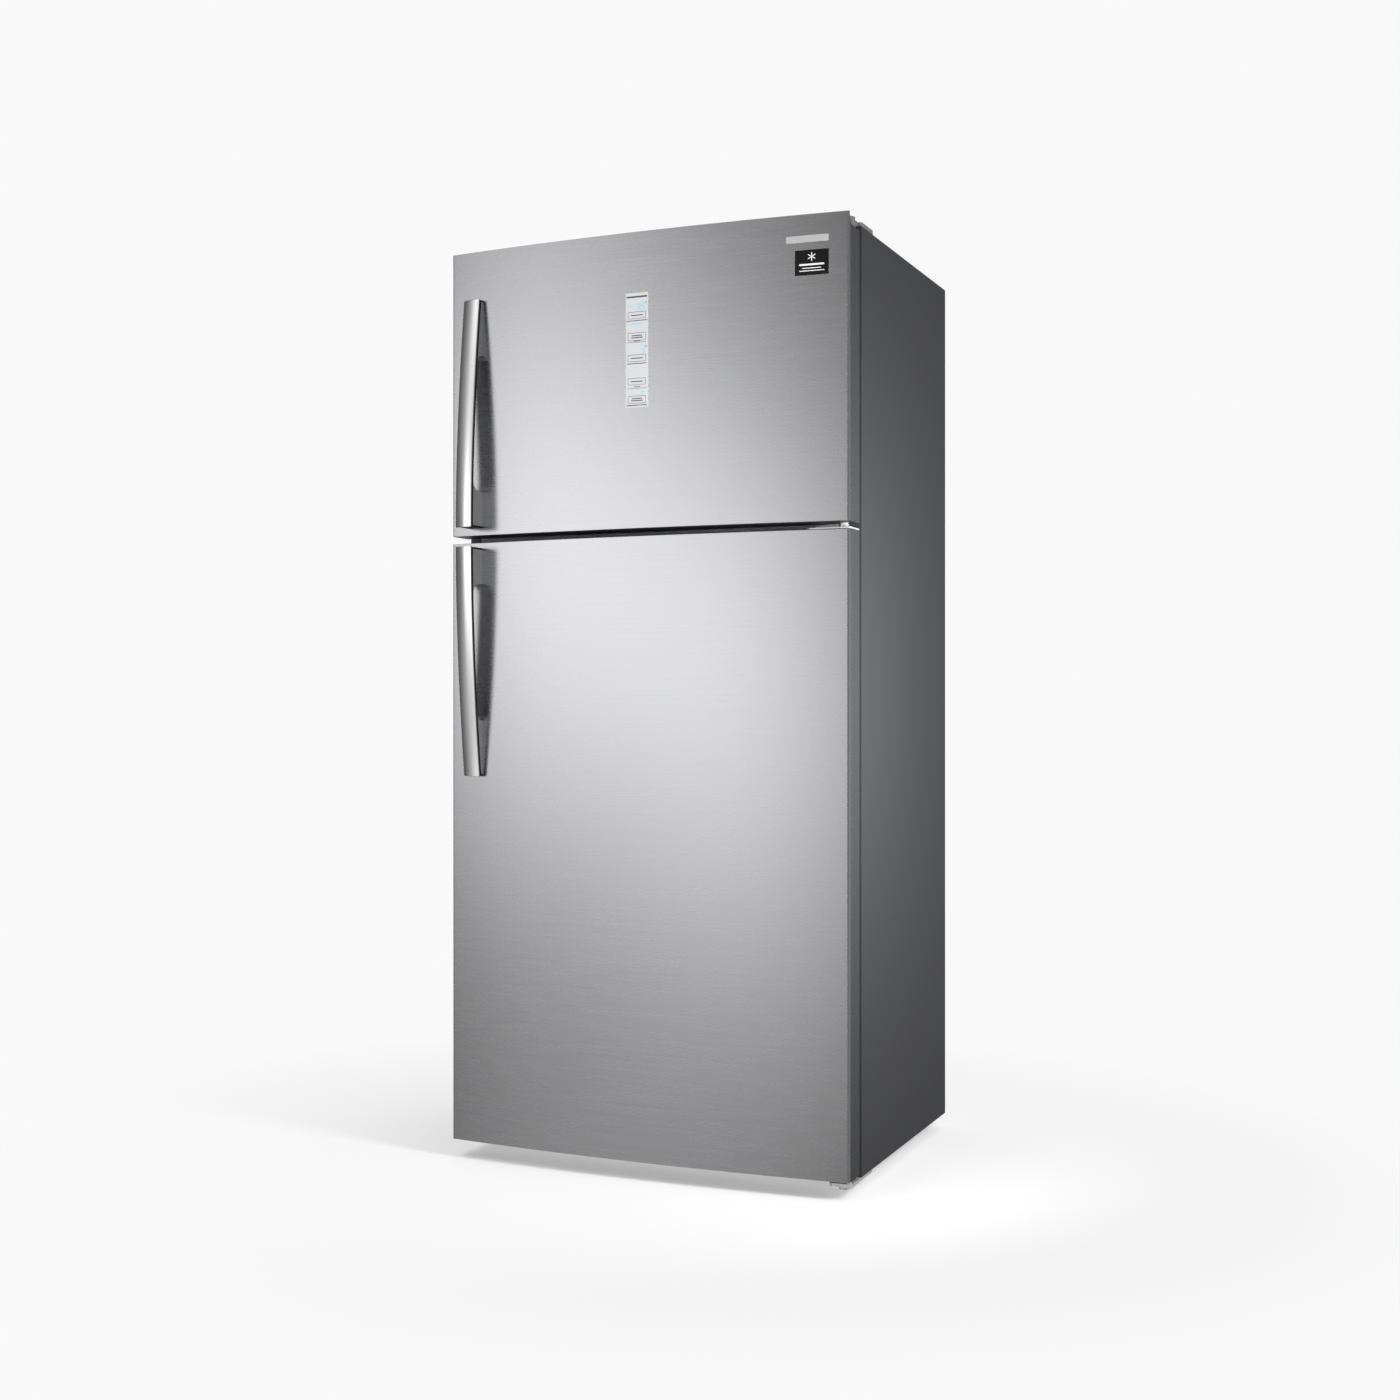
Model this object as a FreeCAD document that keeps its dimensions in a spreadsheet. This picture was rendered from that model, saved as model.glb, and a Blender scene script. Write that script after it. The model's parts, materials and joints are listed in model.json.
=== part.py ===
"""Top freezer refrigerator, hinged on the right, in millimetres.

Origin: middle of the footprint on the floor. +X points to the hinge side, -Y to the front, +Z up.
"""
import FreeCAD, Part
import math
import os

import Sketcher

Vector = FreeCAD.Vector
Rotation = FreeCAD.Rotation
Placement = FreeCAD.Placement

# Driving dimensions: each is a cell of the sheet, by its alias
DIMENSIONS = {
    "overall_width": 836,
    "overall_depth": 786,
    "overall_height": 1848,
    "sheet_steel": 0.8,
    # cabinet
    "cabinet_depth": 646,
    "cabinet_bottom": 31,
    "cabinet_top": 1836,
    "side_wall": 55,
    "back_wall": 60,
    "liner_wall": 2,
    "front_flange": 24,
    "flange_depth": 3,
    "freezer_floor": 1299,
    "freezer_ceiling": 1766,
    "fridge_floor": 106,
    "fridge_ceiling": 1227,
    "mullion_bottom": 1247,
    "mullion_top": 1279,
    "bay_depth": 190,
    "bay_top": 232,
    "bay_insulation": 40,
    "base_sheet": 1.5,
    "ledge_width": 8,
    # doors
    "gasket_gap": 13,
    "gasket_depth": 12.6,
    "gasket_width": 18,
    "gasket_edge": 26,
    "door_thickness": 68,
    "door_crown": 22,
    "door_bottom": 38,
    "fridge_door_height": 1218,
    "door_gap": 15,
    "lip_rise": 23,
    "lip_backing": 7,
    "skin_return": 13,
    "door_frame_wall": 2,
    "door_cap": 3,
    "dyke_outer": 350,
    "dyke_width": 15,
    "dyke_depth": 81,
    "bin_depth": 106,
    "bin_wall": 2.5,
    # hinges
    "hinge_inset": 22,
    "hinge_setback": 30,
    "pin_radius": 5,
    "running_gap": 0.06,
    "hinge_plate": 3,
    # handles
    "handle_left": 384.5,
    "handle_width": 39,
    "handle_length": 464,
    "handle_drop": 37,
    "handle_face": 3,
    "handle_end_gap": 14,
    "handle_bridge": 78,
    "handle_opening": 264,
    # inside
    "shelf_glass": 4,
    "shelf_half_width": 355,
    "shelf_front": -125,
    "shelf_back": 295,
    "drawer_wall": 3,
    "drawer_front": -95,
    "evaporator_zone": 75,
    "tray_axis_x": -240,
    "tray_axis_height": 1462,
    # base and cooling machinery
    "foot_x": 315,
    "foot_y": -175,
    "foot_radius": 18,
    "roller_x": 318,
    "roller_y": 335,
    "roller_radius": 13,
    "roller_width": 14,
    "compressor_radius": 74,
    "tube_radius": 3.2,
}

doc = FreeCAD.newDocument("top_freezer_refrigerator")
sheet = doc.addObject("Spreadsheet::Sheet", "dims")
for row, (alias, amount) in enumerate(DIMENSIONS.items(), start=1):
    sheet.set(f"A{row}", alias)
    sheet.set(f"B{row}", str(amount))
    sheet.setAlias(f"B{row}", alias)
doc.recompute()


class Size:
    """A length with both its number and the sheet expression that gives it."""

    def __init__(self, text, number):
        self.text = text
        self.number = number

    def __add__(self, other):
        other = as_size(other)
        return Size(f"({self.text} + {other.text})", self.number + other.number)

    def __sub__(self, other):
        other = as_size(other)
        return Size(f"({self.text} - {other.text})", self.number - other.number)

    def __mul__(self, other):
        other = as_size(other)
        return Size(f"({self.text} * {other.text})", self.number * other.number)

    def __truediv__(self, other):
        other = as_size(other)
        return Size(f"({self.text} / {other.text})", self.number / other.number)

    def __neg__(self):
        return Size(f"(0 - {self.text})", -self.number)

    def __radd__(self, other):
        return as_size(other) + self

    def __rsub__(self, other):
        return as_size(other) - self


def as_size(thing):
    """A plain number as a Size."""
    if isinstance(thing, Size):
        return thing
    return Size(f"({float(thing)!r})", float(thing))


def dim(alias):
    """One cell of the sheet."""
    return Size("dims." + alias, float(sheet.get(alias)))


def bind(thing, prop, size):
    """Ties a property to the sheet."""
    thing.setExpression(prop, as_size(size).text)


def place(thing, point):
    """Ties an object's position to the sheet."""
    for axis, size in zip("xyz", point):
        bind(thing, "Placement.Base." + axis, size)


# Planes and levels that most parts share
half_width = dim("overall_width") / 2
back = dim("overall_depth") / 2
handle_front = -back
cabinet_front = back - dim("cabinet_depth")
cabinet_bottom = dim("cabinet_bottom")
cabinet_top = dim("cabinet_top")
door_back = cabinet_front - dim("gasket_gap")
door_edge = door_back - dim("door_thickness")
sheet_steel = dim("sheet_steel")
liner_wall = dim("liner_wall")
inner_half = half_width - dim("side_wall")
inner_back = back - dim("back_wall")
foam_half = half_width - sheet_steel
foam_front = cabinet_front + dim("flange_depth")
foam_back = back - sheet_steel
flange_half = half_width - dim("front_flange")
freezer_floor = dim("freezer_floor")
freezer_ceiling = dim("freezer_ceiling")
fridge_floor = dim("fridge_floor")
fridge_ceiling = dim("fridge_ceiling")
base_top = cabinet_bottom + dim("base_sheet")
bay_front = back - dim("bay_depth")
bay_top = dim("bay_top")
hump_front = bay_front - dim("bay_insulation") - liner_wall
hump_top = bay_top + dim("bay_insulation")
fridge_door_bottom = dim("door_bottom")
fridge_door_top = fridge_door_bottom + dim("fridge_door_height")
freezer_door_bottom = fridge_door_top + dim("door_gap")
freezer_door_top = dim("overall_height")
freezer_body_top = freezer_door_top - dim("lip_rise")
hinge_x = half_width - dim("hinge_inset")
hinge_y = door_back - dim("hinge_setback")
bin_back = door_back + dim("bin_depth")
pin_radius = dim("pin_radius")
pin_bore = pin_radius + dim("running_gap")


# ---------------------------------------------------------------- building blocks


def block(name, low, high):
    """A box between two corners."""
    box = doc.addObject("Part::Box", name)
    for prop, start, end in zip(("Length", "Width", "Height"), low, high):
        bind(box, prop, as_size(end) - start)
    place(box, low)
    return box


TURNS = {"x": Rotation(Vector(0, 1, 0), 90), "y": Rotation(Vector(1, 0, 0), -90), "z": Rotation()}


def rod(name, start, axis, length, radius):
    """A cylinder from a point along +X, +Y or +Z."""
    cylinder = doc.addObject("Part::Cylinder", name)
    cylinder.Placement = Placement(Vector(), TURNS[axis])
    bind(cylinder, "Radius", radius)
    bind(cylinder, "Height", length)
    place(cylinder, start)
    return cylinder


def fuse(name, *shapes):
    """Several objects as one solid."""
    whole = doc.addObject("Part::MultiFuse", name)
    whole.Shapes = list(shapes)
    return whole


def group(name, *shapes):
    """Several separate solids as one object."""
    whole = doc.addObject("Part::Compound", name)
    whole.Links = list(shapes)
    return whole


def cut(name, base, *tools):
    """An object with others taken out of it."""
    tool = tools[0] if len(tools) == 1 else group(name + "_tools", *tools)
    whole = doc.addObject("Part::Cut", name)
    whole.Base = base
    whole.Tool = tool
    return whole


def common(name, first, second):
    """What two objects share."""
    whole = doc.addObject("Part::Common", name)
    whole.Base = first
    whole.Tool = second
    return whole


def body(name):
    return doc.addObject("PartDesign::Body", name)


def outline(owner, plane, corners, bulges=None, offset=0):
    """A sketch of one closed outline, anticlockwise through the corners.

    bulges gives, for the number of a side, how far that side bows outwards as an arc.
    """
    bulges = bulges or {}
    sketch = owner.newObject("Sketcher::SketchObject", owner.Name + "_outline")
    origin_plane = [f for f in owner.Origin.OriginFeatures if f.Role == plane][0]
    sketch.AttachmentSupport = [(origin_plane, "")]
    sketch.MapMode = "FlatFace"
    bind(sketch, "AttachmentOffset.Base.z", offset)
    corners = [(as_size(x), as_size(y)) for x, y in corners]
    count = len(corners)
    ends = []
    for side, start in enumerate(corners):
        end = corners[(side + 1) % count]
        bulge = as_size(bulges.get(side, 0)).number
        sketch.addGeometry(side_curve(start, end, bulge), False)
        ends.append((2, 1) if bulge < 0 else (1, 2))
    for side in range(count):
        after = (side + 1) % count
        sketch.addConstraint(Sketcher.Constraint("Coincident", side, ends[side][1], after, ends[after][0]))
    for side, (x, y) in enumerate(corners):
        for kind, size in (("DistanceX", x), ("DistanceY", y)):
            constraint = Sketcher.Constraint(kind, -1, 1, side, ends[side][0], size.number)
            sketch.setExpression(f"Constraints[{sketch.addConstraint(constraint)}]", size.text)
    for side, bulge in bulges.items():
        radius = arc_radius(corners[side], corners[(side + 1) % count], as_size(bulge))
        constraint = Sketcher.Constraint("Radius", side, radius.number)
        sketch.setExpression(f"Constraints[{sketch.addConstraint(constraint)}]", radius.text)
    return sketch


def arc_radius(start, end, bulge):
    """The radius of an arc from its two ends and its bulge."""
    across = end[0] - start[0]
    along = end[1] - start[1]
    height = bulge if bulge.number > 0 else -bulge
    return ((across * across + along * along) / 4 + height * height) / (height * 2)


def side_curve(start, end, bulge):
    """A line, or an arc that bows to the right of its direction by bulge."""
    first = Vector(start[0].number, start[1].number, 0)
    last = Vector(end[0].number, end[1].number, 0)
    if not bulge:
        return Part.LineSegment(first, last)
    if bulge < 0:
        first, last = last, first
        bulge = -bulge
    chord = last - first
    right = Vector(chord.y, -chord.x, 0).normalize()
    radius = (chord.Length**2 / 4 + bulge**2) / (2 * bulge)
    centre = (first + last) / 2 + right * (bulge - radius)
    begin = math.atan2(first.y - centre.y, first.x - centre.x)
    finish = math.atan2(last.y - centre.y, last.x - centre.x)
    if finish < begin:
        finish += 2 * math.pi
    return Part.ArcOfCircle(Part.Circle(centre, Vector(0, 0, 1), radius), begin, finish)


QUARTER = 1 - math.cos(math.pi / 4)


def rounded_rectangle(owner, low, high, radius, offset=0, plane="XY_Plane"):
    """A rectangle with round corners."""
    (left, bottom), (right, top) = low, high
    corners = [
        (left + radius, bottom),
        (right - radius, bottom),
        (right, bottom + radius),
        (right, top - radius),
        (right - radius, top),
        (left + radius, top),
        (left, top - radius),
        (left, bottom + radius),
    ]
    bulges = {side: as_size(radius) * QUARTER for side in (1, 3, 5, 7)}
    return outline(owner, plane, corners, bulges, offset)


def pad(owner, sketch, length):
    """Adds a prism above a sketch."""
    feature = owner.newObject("PartDesign::Pad", owner.Name + "_pad")
    feature.Profile = sketch
    bind(feature, "Length", length)
    return feature


def pocket(owner, sketch, length):
    """Takes a prism out below a sketch."""
    feature = owner.newObject("PartDesign::Pocket", owner.Name + "_pocket")
    feature.Profile = sketch
    bind(feature, "Length", length)
    return feature


def revolve(owner, sketch):
    """Turns a sketch in the body's XZ plane about the body's Z axis."""
    feature = owner.newObject("PartDesign::Revolution", owner.Name + "_turn")
    feature.Profile = sketch
    feature.ReferenceAxis = (sketch, ["V_Axis"])
    feature.Angle = 360
    return feature


def slab(name, plane, corners, start, thickness, bulges=None):
    """A body with one outline made solid."""
    owner = body(name)
    pad(owner, outline(owner, plane, corners, bulges, start), thickness)
    return owner


def tub(name, low, high, wall, radius):
    """An open-topped box with round corners."""
    owner = body(name)
    left, front, bottom = (as_size(edge) for edge in low)
    right, rear, top = (as_size(edge) for edge in high)
    wall = as_size(wall)
    pad(owner, rounded_rectangle(owner, (left, front), (right, rear), radius, bottom), top - bottom)
    inside_low = (left + wall, front + wall)
    inside_high = (right - wall, rear - wall)
    inside = rounded_rectangle(owner, inside_low, inside_high, as_size(radius) - wall, top)
    pocket(owner, inside, top - bottom - wall)
    return owner


def frame(name, low, high, opening_low, opening_high):
    """A flat ring: one box with a smaller opening through it along Y."""
    whole = block(name + "_whole", (low[0], low[1], low[2]), (high[0], high[1], high[2]))
    start = (opening_low[0], as_size(low[1]) - 1, opening_low[1])
    end = (opening_high[0], as_size(high[1]) + 1, opening_high[1])
    return cut(name, whole, block(name + "_opening", start, end))


def tube_path(points, bend):
    """A wire of straight runs joined by tangent arcs of one radius."""
    edges = []
    last = points[0]
    for before, corner, after in zip(points, points[1:], points[2:]):
        incoming = (corner - before).normalize()
        outgoing = (after - corner).normalize()
        turn = incoming.getAngle(outgoing)
        setback = bend * math.tan(turn / 2)
        arc_start = corner - incoming * setback
        arc_end = corner + outgoing * setback
        inward = (outgoing - incoming).normalize()
        middle = corner + inward * (bend / math.cos(turn / 2) - bend)
        if (arc_start - last).Length > 1e-6:
            edges.append(Part.makeLine(last, arc_start))
        edges.append(Part.Arc(arc_start, middle, arc_end).toShape())
        last = arc_end
    edges.append(Part.makeLine(last, points[-1]))
    return Part.Wire(edges)


def tube_shape(points, radius, bend):
    """A round bar along a path."""
    path = tube_path(points, bend)
    direction = points[1] - points[0]
    section = Part.Wire([Part.Circle(points[0], direction, radius).toShape()])
    return path.makePipeShell([section], True, True)


def made(name, shape):
    """An object for a shape that code makes."""
    feature = doc.addObject("Part::Feature", name)
    feature.Shape = shape
    feature.Placement = Placement()
    return feature


nodes = []


def publish(name, thing):
    """Names a finished sub-part; its label is its file's name."""
    thing.Label = name
    nodes.append(thing)


# ---------------------------------------------------------------- cabinet


def make_cabinet_shell():
    """Painted steel wrap: two sides, the top and a narrow flange round the front."""
    low = (-half_width, cabinet_front, cabinet_bottom)
    outside = block("shell_outside", low, (half_width, foam_back, cabinet_top))
    low = (-foam_half, cabinet_front + sheet_steel, cabinet_bottom - 1)
    inside = block("shell_inside", low, (foam_half, back, cabinet_top - sheet_steel))
    window_bottom = cabinet_bottom + dim("front_flange")
    window_top = cabinet_top - dim("front_flange")
    window = block(
        "shell_window",
        (-flange_half, cabinet_front - 1, window_bottom),
        (flange_half, foam_front, window_top),
    )
    publish("cabinet_shell", cut("shell", outside, inside, window))


def make_cabinet_insulation():
    """Rigid foam in the walls, the divider and the step over the machine bay."""
    outer = inner_half + liner_wall
    rear = inner_back + liner_wall
    step = hump_front + liner_wall
    riser = bay_front - dim("base_sheet")
    ceiling = freezer_ceiling + liner_wall
    floor_top = fridge_floor - liner_wall
    step_top = hump_top - liner_wall
    top = cabinet_top - sheet_steel
    spans = {
        "foam_top": ((-foam_half, foam_front, ceiling), (foam_half, foam_back, top)),
        "foam_left": ((-foam_half, foam_front, bay_top), (-outer, foam_back, ceiling)),
        "foam_right": ((outer, foam_front, bay_top), (foam_half, foam_back, ceiling)),
        "foam_left_low": ((-foam_half, foam_front, base_top), (-outer, riser, bay_top)),
        "foam_right_low": ((outer, foam_front, base_top), (foam_half, riser, bay_top)),
        "foam_back": ((-outer, rear, bay_top), (outer, foam_back, ceiling)),
        "foam_divider": (
            (-outer, foam_front, fridge_ceiling + liner_wall),
            (outer, rear, freezer_floor - liner_wall),
        ),
        "foam_floor": ((-outer, foam_front, base_top), (outer, step, floor_top)),
        "foam_riser": ((-outer, step, base_top), (outer, riser, step_top)),
        "foam_step": ((-outer, riser, bay_top), (outer, rear, step_top)),
    }
    publish("cabinet_insulation", group("foam", *[block(n, *span) for n, span in spans.items()]))


def ledges(name, height, front, rear):
    """A pair of ribs on the liner's side walls that carry a shelf or a drawer."""
    thickness = 7
    edge = inner_half - dim("ledge_width")
    low = as_size(height) - thickness
    left = block(name + "_left", (-inner_half - 1, front, low), (-edge, rear, height))
    right = block(name + "_right", (edge, front, low), (inner_half + 1, rear, height))
    return [left, right]


FREEZER_SHELF_HEIGHT = 1528
FRIDGE_SHELF_HEIGHTS = (470, 720, 970)
CRISPER_COVER_HEIGHT = 310
CHILLER_BOTTOM = 340


def make_freezer_liner():
    """White inner box of the freezer with a flange at its mouth and ledges for the shelf."""
    outer = inner_half + liner_wall
    outside = block(
        "freezer_outside",
        (-outer, foam_front, freezer_floor - liner_wall),
        (outer, inner_back + liner_wall, freezer_ceiling + liner_wall),
    )
    flange = block(
        "freezer_flange",
        (-flange_half, cabinet_front, dim("mullion_top")),
        (flange_half, foam_front, cabinet_top - dim("front_flange")),
    )
    inside = block(
        "freezer_inside",
        (-inner_half, cabinet_front - 1, freezer_floor),
        (inner_half, inner_back, freezer_ceiling),
    )
    shell = cut("freezer_box", fuse("freezer_solid", outside, flange), inside)
    ribs = ledges("freezer_ledge", FREEZER_SHELF_HEIGHT, -115, 240)
    publish("freezer_liner", fuse("freezer_liner_whole", shell, *ribs))


def make_fridge_liner():
    """White inner box of the fresh food space, stepped over the machine bay."""
    outer = inner_half + liner_wall
    outside = block(
        "fridge_outside",
        (-outer, foam_front, fridge_floor - liner_wall),
        (outer, inner_back + liner_wall, fridge_ceiling + liner_wall),
    )
    below_step = block(
        "fridge_below_step",
        (-outer - 1, hump_front + liner_wall, fridge_floor - 10),
        (outer + 1, inner_back + 10, hump_top - liner_wall),
    )
    flange = block(
        "fridge_flange",
        (-flange_half, cabinet_front, cabinet_bottom + dim("front_flange")),
        (flange_half, foam_front, dim("mullion_bottom")),
    )
    inside = block(
        "fridge_inside",
        (-inner_half, cabinet_front - 1, fridge_floor),
        (inner_half, inner_back, fridge_ceiling),
    )
    step = block(
        "fridge_step",
        (-inner_half - 1, hump_front, fridge_floor - 1),
        (inner_half + 1, inner_back + 1, hump_top),
    )
    stepped = cut("fridge_stepped", outside, below_step)
    hollow = cut("fridge_hollow", inside, step)
    shell = cut("fridge_box", fuse("fridge_solid", stepped, flange), hollow)
    ribs = []
    for height in (CRISPER_COVER_HEIGHT, CHILLER_BOTTOM - 2, *FRIDGE_SHELF_HEIGHTS):
        ribs += ledges(f"fridge_ledge_{height}", height, -120, 290)
    publish("fridge_liner", fuse("fridge_liner_whole", shell, *ribs))


def make_back_panel():
    """Flat steel sheet that closes the back above the machine bay."""
    low = (-foam_half, foam_back, bay_top)
    publish("back_panel", block("back_sheet", low, (foam_half, back, cabinet_top)))


COVER_DEPTH = 2


def make_mullion_rail():
    """Painted steel bar across the front of the divider, seen between the doors."""
    low = (-flange_half, cabinet_front, dim("mullion_bottom"))
    publish("mullion_rail", block("mullion", low, (flange_half, foam_front, dim("mullion_top"))))


def make_base_plate():
    """Galvanised floor of the cabinet and the walls of the machine bay, as welded sheets."""
    thick = dim("base_sheet")
    under = bay_top - thick
    spans = {
        "base_floor": ((-foam_half, foam_front, cabinet_bottom), (foam_half, foam_back, base_top)),
        "base_riser": ((-foam_half, bay_front - thick, base_top), (foam_half, bay_front, bay_top)),
        "base_shelf": ((-foam_half, bay_front, under), (foam_half, foam_back, bay_top)),
        "base_left": ((-foam_half, bay_front, base_top), (-foam_half + thick, back - COVER_DEPTH, under)),
        "base_right": ((foam_half - thick, bay_front, base_top), (foam_half, back - COVER_DEPTH, under)),
    }
    publish("base_plate", group("base", *[block(name, *span) for name, span in spans.items()]))


INLET_X = 300
INLET_HEIGHT = 70
INLET_RADIUS = 8
INLET_CLEARANCE = 0.3


def make_machine_cover():
    """Louvred panel over the machine bay at the back."""
    depth = COVER_DEPTH
    top = bay_top - dim("base_sheet")
    plate = block("bay_plate", (-foam_half, back - depth, base_top), (foam_half, back, top))
    slots = []
    for column in (-260, -60, 140):
        for row in range(9):
            low = 60 + 16 * row
            start = (column, back - depth - 1, low)
            slots.append(block(f"louvre_{column}_{row}", start, (column + 130, back + 1, low + 7)))
    start = (INLET_X, back - depth - 1, INLET_HEIGHT)
    inlet = rod("inlet_hole", start, "y", depth + 2, INLET_RADIUS + INLET_CLEARANCE)
    publish("machine_cover", cut("bay_cover", plate, *slots, inlet))


def make_cord_inlet():
    """Round gland in the machine cover where the mains lead would enter."""
    start = (INLET_X, back - 16, INLET_HEIGHT)
    barrel = rod("inlet_barrel", start, "y", 16, INLET_RADIUS)
    flange = rod("inlet_flange", (INLET_X, back - 6, INLET_HEIGHT), "y", 4, INLET_RADIUS + 5)
    publish("cord_inlet", fuse("inlet", barrel, flange))


# ---------------------------------------------------------------- feet and rollers


def make_leveling_feet():
    """Two screw feet under the front."""
    feet = []
    for side in (-1, 1):
        owner = body(f"foot_{'left' if side < 0 else 'right'}")
        radius = dim("foot_radius")
        corners = [(0, 0), (radius - 2, 0), (radius, 2), (radius, 7), (9, 10), (5, 10)]
        corners += [(5, cabinet_bottom), (0, cabinet_bottom)]
        revolve(owner, outline(owner, "XZ_Plane", corners))
        place(owner, (dim("foot_x") * side, dim("foot_y"), 0))
        feet.append(owner)
    publish("leveling_feet", group("feet", *feet))


AXLE_RADIUS = 3
BRACKET_SHEET = 2


def make_roller_brackets():
    """A fork with an axle on each side, under the back."""
    brackets = []
    for side in (-1, 1):
        name = "left" if side < 0 else "right"
        half = dim("roller_width") / 2 + 1
        middle = dim("roller_x") * side
        near = dim("roller_y") - 9
        far = dim("roller_y") + 9
        top = cabinet_bottom
        pieces = [
            block(f"fork_top_{name}", (middle - half, near, top - BRACKET_SHEET), (middle + half, far, top))
        ]
        for edge in (-1, 1):
            inner = middle + half * edge
            outer = inner + BRACKET_SHEET * edge
            low, high = (outer, inner) if edge < 0 else (inner, outer)
            pieces.append(block(f"fork_ear_{name}_{edge + 1}", (low, near, 7), (high, far, top)))
        length = half * 2 + 2 * BRACKET_SHEET
        start = (middle - half - BRACKET_SHEET, dim("roller_y"), dim("roller_radius"))
        pieces.append(rod(f"axle_{name}", start, "x", length, AXLE_RADIUS))
        brackets.append(fuse(f"fork_{name}", *pieces))
    publish("roller_brackets", group("forks", *brackets))


def make_rollers():
    """Two plastic wheels that let the cabinet roll on its back edge."""
    for side, name in ((-1, "left"), (1, "right")):
        owner = body(f"wheel_{name}")
        bore = as_size(AXLE_RADIUS) + dim("running_gap")
        half = dim("roller_width") / 2
        rim = dim("roller_radius")
        chamfer = 1
        corners = [
            (bore, -half),
            (rim - chamfer, -half),
            (rim, chamfer - half),
            (rim, half - chamfer),
            (rim - chamfer, half),
            (bore, half),
        ]
        revolve(owner, outline(owner, "XZ_Plane", corners))
        owner.Placement = Placement(Vector(), TURNS["x"])
        place(owner, (dim("roller_x") * side, dim("roller_y"), dim("roller_radius")))
        publish(f"rear_roller_{name}", owner)


# ---------------------------------------------------------------- hinges


def slotted_plate(name, low, high, radius, start, thickness):
    """A flat plate with round corners."""
    owner = body(name)
    pad(owner, rounded_rectangle(owner, low, high, radius, start), thickness)
    return owner


TOP_SCREWS = ((330, -236), (330, -200), (396, -200))
MIDDLE_SCREWS = (340, 372)
BOTTOM_SCREWS = ((382, -236), (406, -236), (394, -200))


def make_top_hinge_bracket():
    """Steel plate on the cabinet's top with an arm and a pin that enters the freezer door."""
    thick = dim("hinge_plate")
    rear = slotted_plate(
        "top_plate", (as_size(316), cabinet_front + 2), (as_size(412), as_size(-182)), 6, cabinet_top, thick
    )
    arm = block("top_arm", (382, hinge_y, cabinet_top), (407, cabinet_front + 12, cabinet_top + thick))
    nose = rod("top_nose", (hinge_x, hinge_y, cabinet_top), "z", thick, 13)
    reach = cabinet_top + thick - (freezer_body_top - 14)
    pin = rod("top_pin", (hinge_x, hinge_y, freezer_body_top - 14), "z", reach, pin_radius)
    publish("top_hinge_bracket", fuse("top_hinge", rear, arm, nose, pin))


def make_top_hinge_cover():
    """Light grey cap over the top hinge, flush with the cabinet's side."""
    top = cabinet_top + 8
    wall = 2
    rear_low = (as_size(304), cabinet_front + 1)
    rear_high = (half_width, as_size(-172))
    rear = slotted_plate("cover_rear", rear_low, rear_high, 5, cabinet_top, 8)
    neck = block("cover_neck", (376, hinge_y, cabinet_top), (411, cabinet_front + 8, top))
    nose_bottom = freezer_body_top + 1.5
    nose = rod("cover_nose", (hinge_x, hinge_y, nose_bottom), "z", top - nose_bottom, 21.5)
    inner_rear = slotted_plate(
        "cover_rear_hollow",
        (as_size(306), cabinet_front + 1.2),
        (half_width - wall, as_size(-174)),
        4,
        cabinet_top - 1,
        7,
    )
    inner_neck = block(
        "cover_neck_hollow", (378, hinge_y, cabinet_top - 1), (409, cabinet_front + 10, top - wall)
    )
    depth = top - wall - nose_bottom + 1
    inner_nose = rod("cover_nose_hollow", (hinge_x, hinge_y, nose_bottom - 1), "z", depth, 19.5)
    outside = fuse("cover_outside", rear, neck, nose)
    publish("top_hinge_cover", cut("cover", outside, inner_rear, inner_neck, inner_nose))


def make_middle_hinge_bracket():
    """Zinc plate in the gap between the doors, with a pin into each of them."""
    bottom = fridge_door_top + 2.5
    thick = dim("hinge_plate")
    plate = slotted_plate(
        "middle_plate", (as_size(328), as_size(-318)), (as_size(416), cabinet_front - 1), 9, bottom, thick
    )
    flange = block(
        "middle_flange", (328, cabinet_front - 4, bottom), (388, cabinet_front, freezer_door_bottom - 2)
    )
    low = fridge_door_top - 14
    pin = rod("middle_pin", (hinge_x, hinge_y, low), "z", freezer_door_bottom + 14 - low, pin_radius)
    boss_low = fridge_door_top + 0.6
    boss = rod("middle_boss", (hinge_x, hinge_y, boss_low), "z", freezer_door_bottom - 0.6 - boss_low, 9)
    publish("middle_hinge_bracket", fuse("middle_hinge", plate, flange, pin, boss))


def make_bottom_hinge_bracket():
    """Zinc plate under the cabinet's front corner that carries the fresh food door."""
    thick = 6
    low = cabinet_bottom - thick
    plate = slotted_plate(
        "bottom_plate", (as_size(372), as_size(-316)), (as_size(417), as_size(-170)), 8, low, thick
    )
    nut = rod("bottom_nut", (hinge_x, hinge_y, low - 8), "z", 9, 9)
    pin = rod("bottom_pin", (hinge_x, hinge_y, low), "z", fridge_door_bottom + 14 - low, pin_radius)
    boss = rod("bottom_boss", (hinge_x, hinge_y, low), "z", fridge_door_bottom - 0.6 - low, 10)
    stop = rod("bottom_stop", (410, -309, low - 2), "z", fridge_door_bottom - 1 - low, 5.5)
    publish("bottom_hinge_bracket", fuse("bottom_hinge", plate, nut, pin, boss, stop))


def make_hinge_screws():
    """Heads of the screws that hold the three brackets."""
    heads = []
    top = cabinet_top + dim("hinge_plate")
    for number, (x, y) in enumerate(TOP_SCREWS):
        heads.append(rod(f"top_screw_{number}", (x, y, top), "z", 2.5, 6))
    middle = fridge_door_top + 9.2
    for number, x in enumerate(MIDDLE_SCREWS):
        heads.append(rod(f"middle_screw_{number}", (x, cabinet_front - 6, middle), "y", 2, 3.4))
    for number, (x, y) in enumerate(BOTTOM_SCREWS):
        heads.append(rod(f"bottom_screw_{number}", (x, y, cabinet_bottom - 9), "z", 3, 5.5))
    publish("hinge_screws", group("screws", *heads))


# ---------------------------------------------------------------- doors


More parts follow.
